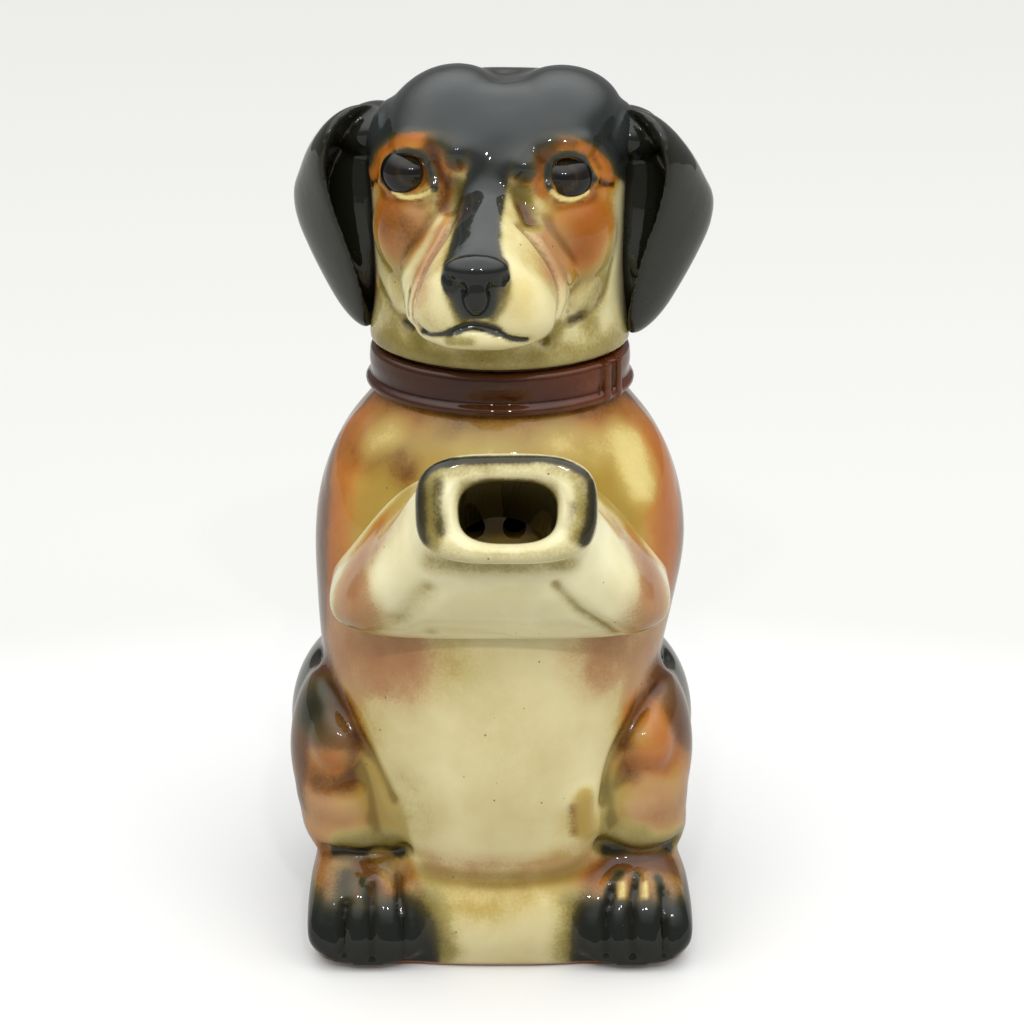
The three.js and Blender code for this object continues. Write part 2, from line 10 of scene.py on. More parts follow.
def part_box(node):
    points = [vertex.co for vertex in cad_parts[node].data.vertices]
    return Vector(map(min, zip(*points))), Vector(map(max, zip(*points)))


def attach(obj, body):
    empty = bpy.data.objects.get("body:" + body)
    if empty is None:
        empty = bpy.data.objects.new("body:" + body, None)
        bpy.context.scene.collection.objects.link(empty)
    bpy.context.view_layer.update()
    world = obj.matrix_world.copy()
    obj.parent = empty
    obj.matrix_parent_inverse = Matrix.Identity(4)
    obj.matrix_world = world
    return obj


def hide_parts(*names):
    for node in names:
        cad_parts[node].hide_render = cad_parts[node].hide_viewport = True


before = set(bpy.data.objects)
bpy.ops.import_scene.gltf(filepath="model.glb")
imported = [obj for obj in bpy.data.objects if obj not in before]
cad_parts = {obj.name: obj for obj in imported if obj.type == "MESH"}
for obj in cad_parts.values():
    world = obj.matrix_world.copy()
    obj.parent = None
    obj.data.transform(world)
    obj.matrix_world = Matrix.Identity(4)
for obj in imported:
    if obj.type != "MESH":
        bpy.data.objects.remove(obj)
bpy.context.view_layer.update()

MM = 0.001
# %% [markdown]
# ## Where the camera stands
#
# The camera comes first, because many details are placed where they are seen. It looks down at the dog by about
# 20 degrees from 0.6 m away. A long lens keeps the ears and feet in proportion. The picture is taken to be
# 1024 by 1024, so a pixel of it is a line of sight, and a detail can be put on the clay where that line lands.
# %% Camera
PICTURE = 1024
FOCAL = 2455.0  # pixels
SENSOR = 36.0
DISTANCE = 600.0
PITCH = math.radians(19.75)  # how far it looks down
AIM_HEIGHT = 100.0
MIDDLE = 500.0  # the pixel column of the dog's own middle

eye_point = Vector((0, -DISTANCE * math.cos(PITCH), AIM_HEIGHT + DISTANCE * math.sin(PITCH))) * MM
bpy.ops.object.camera_add(location=eye_point, rotation=(math.pi / 2 - PITCH, 0, 0))
camera = bpy.context.object
camera.data.sensor_width = SENSOR
camera.data.lens = FOCAL / PICTURE * SENSOR
camera.data.shift_x = (PICTURE / 2 - MIDDLE) / PICTURE
camera.data.clip_start = 0.01
bpy.context.scene.camera = camera
print("camera", [round(v, 3) for v in eye_point], "lens", round(camera.data.lens, 1))
# %% [markdown]
# ## Building up clay
#
# Every casting starts as plain lumps: balls, and stacks of rings. They are joined, given one skin by a voxel
# remesh, and smoothed, which melts the lumps into each other as a wet sponge does. It is the quickest way to an
# animal's form, where a subdivision cage would need its edges planned round every limb.
# %% Lumps of clay


def vectors_of(piece, kind):
    flat = np.empty(len(piece.data.vertices) * 3, np.float32)
    piece.data.vertices.foreach_get(kind, flat)
    return flat.reshape(-1, 3).astype(np.float64)


def points_of(piece):
    return vectors_of(piece, "co") / MM


def normals_of(piece):
    return vectors_of(piece, "normal")


def put(piece, points):
    piece.data.vertices.foreach_set("co", (points * MM).astype(np.float32).ravel())
    piece.data.update()


def step(value, low, high):
    """0 below low, 1 above high, and smooth between them."""
    t = np.clip((value - low) / (high - low), 0, 1)
    return t * t * (3 - 2 * t)


def deselect():
    bpy.ops.object.select_all(action="DESELECT")


def placed(name):
    """Names the active object and puts its place, turn and size into its mesh."""
    piece = bpy.context.object
    piece.name = name
    piece.data.name = name
    bpy.ops.object.transform_apply(location=True, rotation=True, scale=True)
    return piece


def taken(piece):
    """Makes a piece the active one and the only one selected."""
    deselect()
    piece.select_set(True)
    bpy.context.view_layer.objects.active = piece
    return piece


@contextmanager
def opened(piece):
    """Edit mode with the whole piece selected, for the mesh tools."""
    taken(piece)
    bpy.ops.object.mode_set(mode="EDIT")
    bpy.ops.mesh.select_all(action="SELECT")
    yield
    bpy.ops.object.mode_set(mode="OBJECT")


def ball(name, place, radii, lean=0.0, roll=0.0):
    """A ball of clay, in millimetres. Lean raises its front by degrees, and roll tips it to a side."""
    deselect()
    bpy.ops.mesh.primitive_uv_sphere_add(
        segments=48, ring_count=24, radius=1, location=[v * MM for v in place],
        rotation=[math.radians(-lean), math.radians(roll), 0],
    )
    bpy.context.object.scale = [v * MM for v in radii]
    return placed(name)


def rod(name, radius, length, place, vertices=64, tilt=0.0):
    """A rod of clay, in millimetres, upright or tilted forward by degrees."""
    deselect()
    bpy.ops.mesh.primitive_cylinder_add(
        vertices=vertices, radius=radius * MM, depth=length * MM, location=[v * MM for v in place],
        rotation=(math.radians(tilt), 0, 0),
    )
    return placed(name)


def joined(name, parts):
    deselect()
    for part in parts:
        part.select_set(True)
    bpy.context.view_layer.objects.active = parts[0]
    bpy.ops.object.join()
    piece = bpy.context.object
    piece.name = name
    return piece


def section(far, centre, half, depth, power=2.0, taper=0.0, upright=False, lean=0.0, vertices=64):
    """A ring of points, in millimetres, that lies flat at a height or stands upright at a reach along Y.

    Its centre is on the next axis. A power above 2 squares it, a taper narrows its top or back, and an upright
    ring leans back by degrees."""
    turn = np.arange(vertices) / vertices * 2 * np.pi
    across, up = (np.sign(f) * np.abs(f) ** (2 / power) for f in (np.cos(turn), np.sin(turn)))
    across = across * (1 - taper * up) * half
    if not upright:
        return np.c_[across, centre + up * depth, np.full(vertices, far)]
    lean = math.radians(lean)
    return np.c_[across, far + up * depth * math.sin(lean), centre + up * depth * math.cos(lean)]


def bend(a, b, c, d, t):
    """A Catmull-Rom curve from b to c, led by the points a and d beyond them."""
    return 0.5 * (2 * b + (c - a) * t + (2 * a - 5 * b + 4 * c - d) * t**2 + (3 * b - a - 3 * c + d) * t**3)


def between(rings, steps=4):
    """The same rings with smooth ones between them, so that a stack shows no joints."""
    full = []
    for n in range(len(rings) - 1):
        near = [rings[min(max(n + m, 0), len(rings) - 1)] for m in (-1, 0, 1, 2)]
        full += [bend(*near, t) for t in np.arange(steps) / steps]
    return [*full, rings[-1]]


def stack(name, rings, steps=4):
    """A disc extruded once for each further ring, and then shaped ring by ring."""
    rings = between(rings, steps)
    count = len(rings[0])
    deselect()
    bpy.ops.mesh.primitive_circle_add(vertices=count, radius=MM, fill_type="NGON")
    piece = placed(name)
    with opened(piece):
        for _ in rings[1:]:
            bpy.ops.mesh.extrude_region_move(TRANSFORM_OT_translate={"value": (0, 0, MM)})
    plain = points_of(piece)
    level = np.rint(plain[:, 2]).astype(int)
    spot = np.rint(np.arctan2(plain[:, 1], plain[:, 0]) / (2 * np.pi) * count).astype(int) % count
    put(piece, np.array(rings)[level, spot])
    with opened(piece):
        bpy.ops.mesh.normals_make_consistent(inside=False)
    return piece


print("lumps: ball, rod and stack")
# %% One skin over the lumps


def finished(piece, kind, **settings):
    """Adds a modifier and applies it."""
    bpy.context.view_layer.objects.active = piece
    modifier = piece.modifiers.new(kind.title(), kind)
    for key, value in settings.items():
        setattr(modifier, key, value)
    bpy.ops.object.modifier_apply(modifier=modifier.name)
    return piece


def sponged(piece, rounds, factor=0.5):
    return finished(piece, "SMOOTH", factor=factor, iterations=rounds)


def skinned(name, parts, voxel, rounds):
    """The lumps under one skin, whose voxels are that many millimetres, wiped smooth."""
    piece = joined(name, parts)
    finished(piece, "REMESH", mode="VOXEL", voxel_size=voxel * MM)
    sponged(piece, rounds)
    print(name, "skin:", len(piece.data.polygons), "faces")
    return piece


def hollowed(piece, *tools):
    """Cuts the tools out of the piece."""
    for tool in tools:
        finished(piece, "BOOLEAN", operation="DIFFERENCE", object=tool, solver="EXACT")
        bpy.data.objects.remove(tool)
    return piece


# %% [markdown]
# ## Modelling tools for the soft clay
#
# Details are pressed in with the fingers and a wooden tool: a swelling, a hollow, or a line drawn through the
# surface. Each is a move of the skin along its own normals that fades out round a point or a path. Paths may be
# given in pixels of the picture, and land on the clay where they are seen.
# %% Fingers and a wooden tool
skins = {}


def seen(piece, *pixels):
    """The points of the clay that show at these pixels, in millimetres."""
    if piece.name not in skins:
        mesh = piece.data
        skins[piece.name] = BVHTree.FromPolygons(
            [v.co for v in mesh.vertices], [p.vertices for p in mesh.polygons], epsilon=0
        )
    found = []
    for x, y in pixels:
        right = (x - MIDDLE) / FOCAL
        up = (PICTURE / 2 - y) / FOCAL
        way = Vector((right, math.cos(PITCH) + up * math.sin(PITCH), up * math.cos(PITCH) - math.sin(PITCH)))
        hit = skins[piece.name].ray_cast(eye_point, way.normalized())[0]
        if hit is None:
            print("  no clay of", piece.name, "at pixel", x, y)
            continue
        found.append(hit / MM)
    return found


def pixels_of(points):
    """Where each point shows in the picture."""
    back = points * MM - np.array(eye_point)
    depth = back[:, 1] * math.cos(PITCH) - back[:, 2] * math.sin(PITCH)
    up = back[:, 1] * math.sin(PITCH) + back[:, 2] * math.cos(PITCH)
    return np.c_[MIDDLE + FOCAL * back[:, 0] / depth, PICTURE / 2 - FOCAL * up / depth]


def away(points, path):
    """How far each point is from a path of one or more points."""
    path = [np.array(p, float) for p in path]
    nearest = np.linalg.norm(points - path[0], axis=1)
    for a, b in zip(path, path[1:]):
        way = b - a
        share = np.clip((points - a) @ way / max(way @ way, 1e-9), 0, 1)
        nearest = np.minimum(nearest, np.linalg.norm(points - a - share[:, None] * way, axis=1))
    return nearest


def rounded_path(path, steps=6):
    """A smooth line through the points."""
    if len(path) < 3:
        return [Vector(p) for p in path]
    p = [Vector(v) for v in path]
    p = [2 * p[0] - p[1], *p, 2 * p[-1] - p[-2]]
    curve = []
    for near in zip(p, p[1:], p[2:], p[3:]):
        curve += [bend(*near, n / steps) for n in range(steps)]
    return [*curve, p[-2]]


def nearness(points, path, reach):
    """1 on a smooth path, and faded out round it."""
    return np.exp(-((away(points, rounded_path(path)) / reach) ** 2))[:, None]


def press(piece, path, reach, height):
    """Moves the skin near a path by height millimetres along its normals: out if positive, in if negative."""
    points = points_of(piece)
    put(piece, points + normals_of(piece) * (height * nearness(points, path, reach)))


def pressed(piece, *strokes):
    """Several strokes, each a path in pixels with its reach and height."""
    for path, reach, height in strokes:
        press(piece, seen(piece, *path), reach, height)


def each(paths, *values):
    """One stroke for each path, all with the same values."""
    return [(path, *values) for path in paths]


def averaging(piece):
    """A function that gives each point of the skin the average of its neighbours' values."""
    mesh = piece.data
    ends = np.empty(len(mesh.edges) * 2, np.int32)
    mesh.edges.foreach_get("vertices", ends)
    a, b = ends.reshape(-1, 2).T
    count = np.bincount(np.r_[a, b], minlength=len(mesh.vertices)).clip(1)[:, None]

    def averaged(values):
        total = np.zeros_like(values)
        np.add.at(total, a, values[b])
        np.add.at(total, b, values[a])
        return total / count

    return averaged


def wiped(piece, path, reach, rounds=30):
    """Wipes the skin smooth near a path, and leaves the rest crisp."""
    averaged = averaging(piece)
    points = points_of(piece)
    fade = nearness(points, path, reach)
    for _ in range(rounds):
        points = points + fade * (averaged(points) - points)
    put(piece, points)


print("tools: seen, press and wiped")
# %% [markdown]
# ## The spray booth
#
# The colours are sprayed on from soft to dark: pale amber first, then orange and pink, and the black coat last.
# Each stain is a mask of its own, held as an attribute on the skin, so the material can break up its edge into
# the fine grain that an airbrush leaves.
# Some strokes in these masks paint shade into creases, and highlights and reflections onto the glaze.
# %% Stains as masks
STAINS = ("amber", "orange", "pink", "olive", "brown", "black", "straw_and_sheen", "bare")


def spray(piece, stain, path, reach, strength=1.0, core=0.1):
    """A stroke of stain round a path: full inside the core's share of its reach, and faded out at its reach."""
    fade = np.clip((1 - away(points_of(piece), rounded_path(path)) / reach) / (1 - core), 0, 1)
    wash(piece, stain, strength * fade * fade * (3 - 2 * fade))


def wash(piece, stain, cover):
    """Adds stain over the whole piece, by a cover from 0 to 1 at each point."""
    mesh = piece.data
    layer = mesh.attributes.get(stain) or mesh.attributes.new(stain, "FLOAT", "POINT")
    old = np.empty(len(mesh.vertices), np.float32)
    layer.data.foreach_get("value", old)
    layer.data.foreach_set("value", (1 - (1 - old) * (1 - np.clip(cover, 0, 1))).astype(np.float32))


def within(piece, outline, soft):
    """A cover of 1 inside an outline drawn in pixels, faded over soft pixels at its edge."""
    spots = pixels_of(points_of(piece))
    outline = np.array(rounded_outline(outline))
    ends = np.roll(outline, -1, axis=0)
    crossings = np.zeros(len(spots), int)
    for (x0, y0), (x1, y1) in zip(outline, ends):
        if y0 != y1:
            level = (spots[:, 1] >= min(y0, y1)) & (spots[:, 1] < max(y0, y1))
            crossings += level & (spots[:, 0] < x0 + (spots[:, 1] - y0) * (x1 - x0) / (y1 - y0))
    edge = away(spots, [*outline, outline[0]])
    return step(np.where(crossings % 2 == 1, edge, -edge), -soft, soft)


def rounded_outline(corners, steps=5):
    """A smooth closed line through the corners."""
    p = [np.array(c, float) for c in corners]
    line = []
    for n in range(len(p)):
        near = [p[(n + m) % len(p)] for m in (-1, 0, 1, 2)]
        line += [bend(*near, t) for t in np.arange(steps) / steps]
    return line


def round_back(points, middle=0.0):
    """Degrees round from straight ahead, to either side."""
    return np.degrees(np.arctan2(np.abs(points[:, 0] - middle), -points[:, 1]))


def creases(piece, rounds=6):
    """How hollow the skin is at each point, from 0 to 1, where a thick glaze runs together."""
    averaged = averaging(piece)
    points = points_of(piece)
    smooth = points
    for _ in range(rounds):
        smooth = averaged(smooth)
    hollow = ((smooth - points) * normals_of(piece)).sum(axis=1)[:, None]
    for _ in range(2):
        hollow = averaged(hollow)
    return hollow[:, 0]


print("stains:", ", ".join(STAINS))
# %% Strokes of the airbrush, and glaze that runs


def sprays(piece, stain, *strokes):
    """Several strokes of one stain. A stroke is a path in pixels, its reach in millimetres and its strength."""
    for path, reach, strength in strokes:
        spots = seen(piece, *path)
        if spots:
            spray(piece, stain, spots, reach, strength)


def pooled(piece, thin=0.03, thick=0.22, edge=1.0):
    """Where glaze has run together, and where it has run off an edge and left it pale."""
    hollow = creases(piece)
    coat = np.zeros(len(hollow), np.float32)
    if "black" in piece.data.attributes:
        piece.data.attributes["black"].data.foreach_get("value", coat)
    wash(piece, "pool", step(hollow, thin, thick))
    wash(piece, "edge", edge * step(-hollow, thin, thick) * (1 - coat) ** 2)


print("tools: sprays and pooled")
# %% [markdown]
# ## The pot: torso, haunches and hind feet
#
# The torso is a stack of ovals that swells at the belly and again at the chest. Haunches, shins and shoulders are
# balls, and each foot is a stack of upright rings laid along the floor. They are one casting, so they share one
# skin. The creases between them are drawn back in afterwards, as the maker would with a wooden tool.
# %% Torso, haunches, shins and shoulders
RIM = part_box("pot_body")[1].z / MM
TORSO_HALF = 45.0
TORSO_FRONT = 47.5
TORSO_BACK = 45.5
TORSO_SHARES = (  # height, half width, front and back depths as shares, and how square the ring is
    (0, 0.955, 0.965, 0.92, 3.2), (0.055, 0.985, 1, 0.945, 3), (0.11, 0.955, 0.98, 0.965, 2.8),
    (0.156, 0.885, 0.915, 0.98, 2.5), (0.235, 0.865, 0.965, 0.99, 2.3), (0.346, 0.9, 1, 1, 2.2),
    (0.457, 0.93, 0.99, 0.995, 2.2), (0.554, 0.97, 0.945, 0.965, 2.2), (0.665, 1, 0.9, 0.925, 2.2),
    (0.762, 0.955, 0.85, 0.87, 2.15), (0.845, 0.84, 0.77, 0.78, 2.1), (0.907, 0.69, 0.665, 0.68, 2),
    (0.942, 0.62, 0.58, 0.595, 2),
)
NECK_RADIUS = 28.4


def torso_rows():
    for up, wide, front, back, power in TORSO_SHARES:
        yield up * RIM, wide * TORSO_HALF, front * TORSO_FRONT, back * TORSO_BACK, power


def oval(far, half, front, back, power=2.0, vertices=96):
    """A flat ring whose front and back reach differently far from the upright axis."""
    ring = section(far, 0, half, 1, power=power, vertices=vertices)
    ring[:, 1] *= np.where(ring[:, 1] < 0, front, back)
    return ring


lumps = [stack("torso", [oval(*row) for row in torso_rows()])]
for side in (-1, 1):
    lumps += [
        ball("haunch", (side * 31, 3, 46), (19.4, 35, 23.5), lean=8),
        ball("thigh", (side * 34.6, -14, 44), (15, 18.5, 26), lean=-8),
        ball("calf", (side * 34, -17.5, 37), (14.4, 18.5, 19.5)),
        ball("hock", (side * 33, -18.5, 29), (14.6, 18, 13.5)),
        ball("knee", (side * 35.5, -26, 51.5), (8.6, 8.4, 10)),
        ball("shoulder", (side * 22.8, -5, 104), (20.2, 24, 28.5)),
    ]
print("torso lumps:", len(lumps))
# %% Hind feet
FOOT_SPREAD = 31.5
FOOT_ROWS = (  # how far forward, half width and height
    (10, 12.2, 24), (21.5, 14.7, 27), (31, 15.2, 25.5), (37, 15.2, 22.5), (41.5, 15, 19.5), (45, 14.6, 16),
    (47.3, 13, 12), (48.7, 10.6, 8),
)
FOOT_MIDDLE = 8.5  # height of a foot's widest line, below which it rounds in towards the floor


def foot(side):
    rings = []
    for ahead, half, height in FOOT_ROWS:
        middle = min(FOOT_MIDDLE, height * 0.6)
        ring = section(-ahead, middle, half, height - middle, power=2.4, upright=True)
        rings.append(ring + (side * FOOT_SPREAD, 0, 0))
    return stack("foot", rings)


lumps += [foot(-1), foot(1)]
body = skinned("dog_body", lumps, voxel=0.9, rounds=18)
# %% The casting's own lean
LEAN = 2.1  # how far the haunches stand to the left of the neck and feet


def sideways(points):
    """The casting is not quite even: it swings to the left between the feet and the chest."""
    height = points[:, 2]
    return LEAN * step(height, 8, 40) * step(height, 100, 62)


points = points_of(body)
points[:, 0] -= sideways(points)
put(body, points)
print("body box", [[round(v, 1) for v in corner] for corner in (points.min(0), points.max(0))])
# %% Neck and base, after the skin is smooth
NECK_DEPTH = 30.0  # how far the neck's cylinder reaches down into the chest
neck = rod("neck", NECK_RADIUS, NECK_DEPTH, (0, 0, RIM - NECK_DEPTH / 2), vertices=96)
finished(body, "BOOLEAN", operation="UNION", object=neck, solver="EXACT")
bpy.data.objects.remove(neck)


def levelled(piece, height=0.0):
    """Cuts the clay off flat at a height and closes the cut."""
    with opened(piece):
        bpy.ops.mesh.bisect(
            plane_co=(0, 0, height * MM), plane_no=(0, 0, 1), use_fill=True, clear_inner=True, clear_outer=False
        )


levelled(body)
print("body stands flat")
# %% Creases and swellings of the pot, placed where they are seen
pressed(
    body,
    # under the thighs, above the feet
    (((322, 848), (345, 852), (380, 853), (405, 850)), 1.6, -1.6),
    (((600, 843), (630, 852), (660, 850), (676, 842)), 1.6, -1.6),
    # the thighs' inner edges against the belly
    (((318, 655), (330, 690), (350, 725), (375, 765), (392, 800)), 2.0, -1.0),
    (((668, 655), (655, 690), (632, 725), (612, 760), (603, 800)), 1.8, -1.3),
    # knees
    (((335, 758),), 5.5, 1.2),
    (((652, 758),), 5.5, 1.4),
    # under the knees
    (((320, 782), (350, 782)), 4.0, -0.8),
    (((630, 782), (665, 784)), 4.0, -0.8),
    # the belly's lower edge between the feet
    (((405, 852), (440, 872), (500, 880), (560, 873), (600, 850)), 3.0, -0.45),
    # a small oval swelling beside the right shin
    (((584, 800), (587, 828)), 3.8, 1.5),
)
print("creases pressed")
# %% Toes
TOE_GROOVES = (
    # of the left foot
    ((345, 905), (343, 930), (344, 955)), ((372, 885), (371, 925), (372, 958)),
    ((398, 880), (402, 920), (404, 958)),
    # of the right foot
    ((612, 890), (606, 920), (606, 955)), ((634, 882), (632, 920), (633, 955)),
    ((664, 890), (664, 925), (664, 955)),
)
KNUCKLES = ((330, 900), (358, 888), (385, 880), (412, 888), (595, 892), (622, 882), (648, 880), (674, 892))
pressed(body, *each(TOE_GROOVES, 1.1, -1.5), *each(zip(KNUCKLES), 3.0, 0.6))
sponged(body, 2)
print("toes pressed")
# %% [markdown]
# ## Inside the pot
#
# A slip-cast pot has the same wall all over, so its chamber is its outside again, one wall further in. The mouth
# in the neck takes the lid's flange, and seven holes behind the spout hold the tea leaves back.
# %% Chamber, mouth and strainer
WALL = 4.6
FLOOR = 5.5
MOUTH_RADIUS = 24.8
MOUTH_DEPTH = 24.0
MOUTH_ABOVE = 5.0  # how far the tool that cuts the mouth stands out of it
CHAMBER_POWER = 2.2  # how square the chamber's rings are
HOLE_RADIUS = 2.7
HOLE_LENGTH = 30.0  # enough to pass through the curved wall
HOLE_REACH = 38.0  # how far in front of the pot's middle a hole's own middle lies
HOLE_PITCH = 9.4
HOLE_MIDDLE = -1.4  # the holes stand a little left of the pot's middle
STRAINER_HEIGHT = 102.6


def chamber():
    rows = [row for row in torso_rows() if row[0] > FLOOR]
    rows = [(up, half - WALL, front - WALL, back - WALL, CHAMBER_POWER) for up, half, front, back, _ in rows]
    return stack("chamber", [oval(*row, vertices=64) for row in [(FLOOR, *rows[0][1:]), *rows[1:]]])


holes = []
for row in (-1, 0, 1):
    count = 3 - abs(row)
    height = STRAINER_HEIGHT + row * HOLE_PITCH * math.sin(math.pi / 3)
    for n in range(count):
        place = (HOLE_MIDDLE + (n - (count - 1) / 2) * HOLE_PITCH, -HOLE_REACH, height)
        holes.append(rod("hole", HOLE_RADIUS, HOLE_LENGTH, place, vertices=32, tilt=90))
mouth = rod("mouth", MOUTH_RADIUS, MOUTH_DEPTH + MOUTH_ABOVE, (0, 0, RIM + (MOUTH_ABOVE - MOUTH_DEPTH) / 2))
hollowed(body, chamber(), mouth, joined("holes", holes))
print("pot hollowed:", len(body.data.polygons), "faces")
# %% [markdown]
# ## The collar
#
# The strap is one profile turned round the neck: a flat band with a rounded bead along its lower edge. Spin is the
# tool for that. Two raised keepers, where a real strap's end would be tucked in, are small blocks melted on.
# %% Turned strap
collar_low, collar_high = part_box("collar")
STRAP_TOP = collar_high.z / MM
STRAP_BOTTOM = collar_low.z / MM
STRAP_RADIUS = 31.2
STRAP_BORE = 27.0
BEAD = 1.2  # radius of the bead
BEAD_STEPS = 8


def turned(name, profile, steps=128):
    """Spins a closed profile of radius and height points once round the upright axis."""
    count = len(profile)
    mesh = bpy.data.meshes.new(name)
    mesh.from_pydata([(r * MM, 0, z * MM) for r, z in profile], [(n, (n + 1) % count) for n in range(count)], [])
    piece = bpy.data.objects.new(name, mesh)
    bpy.context.collection.objects.link(piece)
    with opened(piece):
        bpy.ops.mesh.spin(steps=steps, angle=2 * math.pi, center=(0, 0, 0), axis=(0, 0, 1))
        bpy.ops.mesh.select_all(action="SELECT")
        bpy.ops.mesh.remove_doubles(threshold=1e-6)
        bpy.ops.mesh.normals_make_consistent(inside=False)
    return piece


def strap_profile():
    bead_height = STRAP_BOTTOM + BEAD
    yield STRAP_BORE, STRAP_BOTTOM
    for n in range(BEAD_STEPS + 1):
        angle = -math.pi / 2 + n / BEAD_STEPS * math.pi * 0.9
        yield STRAP_RADIUS - 0.3 + BEAD * math.cos(angle), bead_height + BEAD * math.sin(angle)
    yield STRAP_RADIUS - 0.5, bead_height + BEAD + 0.6
    yield STRAP_RADIUS - 0.1, (STRAP_BOTTOM + STRAP_TOP) / 2 + 1
    yield STRAP_RADIUS - 0.3, STRAP_TOP - 1.1
    yield STRAP_RADIUS - 1.3, STRAP_TOP - 0.2
    yield STRAP_BORE, STRAP_TOP - 0.2


strap = turned("strap", list(strap_profile()))
KEEPER_TURN = (-38.5, -29.5)  # degrees round from the dog's left side
KEEPER_REACH = 30.6 * MM
KEEPER_THICK, KEEPER_WIDE = 3.6 * MM, 2.2 * MM
KEEPER_TALL = (STRAP_TOP - STRAP_BOTTOM - 0.6) * MM
keepers = []
for turn in KEEPER_TURN:
    angle = math.radians(turn)
    middle = (STRAP_TOP + STRAP_BOTTOM) / 2 * MM
    deselect()
    bpy.ops.mesh.primitive_cube_add(
        size=1, location=[KEEPER_REACH * math.cos(angle), KEEPER_REACH * math.sin(angle), middle],
        rotation=(0, 0, angle),
    )
    bpy.context.object.scale = (KEEPER_THICK, KEEPER_WIDE, KEEPER_TALL)
    keepers.append(placed("keeper"))
collar = skinned("collar_strap", [strap, *keepers], voxel=0.45, rounds=5)
print("collar turned")
# %% [markdown]
# ## The forelegs and the spout
#
# Both forelegs were cast in one hollow piece. Their rings leave the chest low and wide, narrow towards the paws,
# and rise to a rounded, nearly rectangular mouth with a thick rolled lip.
# %% Forelegs
SPOUT_HEIGHT = 125.0
ARMS_HEIGHT = 103.5
SPOUT_REACH = 70.0
SPOUT_RISE = 20.0  # degrees that the mouth looks up
ARM_ROWS = (  # share of the reach, share of the rise, half width, half height, taper, share of the lean
    (0.17, 0, 33.4, 19.5, 0.4, 0), (0.42, 0, 33.4, 19.5, 0.4, 0), (0.56, 0, 33.1, 19.3, 0.39, 0.05),
    (0.66, 0.03, 31.6, 18.1, 0.36, 0.15), (0.74, 0.22, 28, 16.6, 0.29, 0.45), (0.81, 0.52, 23, 14.2, 0.17, 0.8),
)
LIP_ROWS = (  # behind the mouth, half width, half height
    (9, 18.4, 11), (6.8, 19.5, 11.8), (3.6, 19.75, 12), (1.1, 19.2, 11.5), (0, 17.6, 10.3),
)
LIP_LIFT = np.array((1.4, 0.25, 0.8))  # the lip leans to the right, and is thicker over the mouth than under it


def behind_mouth(depth):
    lean = math.radians(SPOUT_RISE)
    return -SPOUT_REACH + depth * math.cos(lean), SPOUT_HEIGHT - depth * math.sin(lean)


arms = [
    section(-along * SPOUT_REACH, ARMS_HEIGHT + rise * (SPOUT_HEIGHT - ARMS_HEIGHT), half, height, power=3.8,
            taper=taper, upright=True, lean=share * SPOUT_RISE, vertices=96)
    for along, rise, half, height, taper, share in ARM_ROWS
]
lip = [
    section(*behind_mouth(depth), half, height, power=3.2, upright=True, lean=SPOUT_RISE, vertices=96) + LIP_LIFT
    for depth, half, height in LIP_ROWS
]
forelegs = skinned("foreleg_casting", [stack("arms", arms + lip, steps=3)], voxel=0.65, rounds=12)
MOUTH_SHIFT = np.array((1.7, 0, 0))
MOUTH_HALF = 10.6
MOUTH_HALF_HEIGHT = 6.7
MOUTH_ROWS = ((9, 1), (3.5, 1), (1.6, 1.04), (0.5, 1.16), (-0.2, 1.34), (-3, 2.0))  # depth and growth
TUNNEL_RADIUS = 12.0  # of the passage behind the mouth
passage = [section(-far, STRAINER_HEIGHT, TUNNEL_RADIUS, TUNNEL_RADIUS, upright=True) for far in (8, 44)]
passage += [
    section(*behind_mouth(depth), MOUTH_HALF * grow, MOUTH_HALF_HEIGHT * grow, power=2.8, upright=True,
            lean=SPOUT_RISE) + MOUTH_SHIFT
    for depth, grow in MOUTH_ROWS
]
pressed(
    forelegs,
    # dents where the paws were pressed together, and the ledge under the lip
    (((426, 590), (412, 606), (398, 622)), 3.2, -0.9),
    (((556, 585), (568, 598), (582, 611), (600, 622), (617, 634)), 1.9, -0.8),
    (((570, 590), (590, 606), (608, 618)), 2.6, 0.5),
    (((450, 570), (500, 572), (550, 570)), 4.0, 0.6),
    (((430, 632), (500, 637)), 3.0, -0.5),
    (((356, 616), (362, 624)), 4.0, 0.9),
    (((640, 626), (646, 618)), 4.0, 0.9),
)
hollowed(forelegs, stack("passage", passage, steps=1))
print("forelegs:", len(forelegs.data.polygons), "faces")
# %% [markdown]
# ## The tail
#
# The tail leaves the rump, swings out and up and meets the back again below the collar, so a hand can hold it.
# %% Tail as a handle
TAIL_REACH = 80.0
TAIL_LOW, TAIL_HIGH = 36.0, 112.0
TAIL_SHARES = ((0.42, 0), (0.8, 0.02), (0.99, 0.3), (0.97, 0.66), (0.76, 0.93), (0.36, 1.03))
TAIL_RADII = (8.4, 8.1, 7.5, 6.8, 6.1, 5.4)
TAIL_SIDES = 48
TAIL_FLATNESS = 0.94  # its depth as a share of its width
course = rounded_path(
    [(0, far * TAIL_REACH, TAIL_LOW + up * (TAIL_HIGH - TAIL_LOW)) for far, up in TAIL_SHARES], steps=12
)
rings = []
for n, middle in enumerate(course):
    way = (course[min(n + 1, len(course) - 1)] - course[max(n - 1, 0)]).normalized()
    side = way.cross(Vector((1, 0, 0))).normalized()
    radius = np.interp(n / (len(course) - 1), np.linspace(0, 1, len(TAIL_RADII)), TAIL_RADII)
    turn = np.arange(TAIL_SIDES) / TAIL_SIDES * 2 * np.pi
    rings.append(np.array([
        middle + Vector((math.cos(t), 0, 0)) * radius + side * (radius * TAIL_FLATNESS * math.sin(t)) for t in turn
    ]))
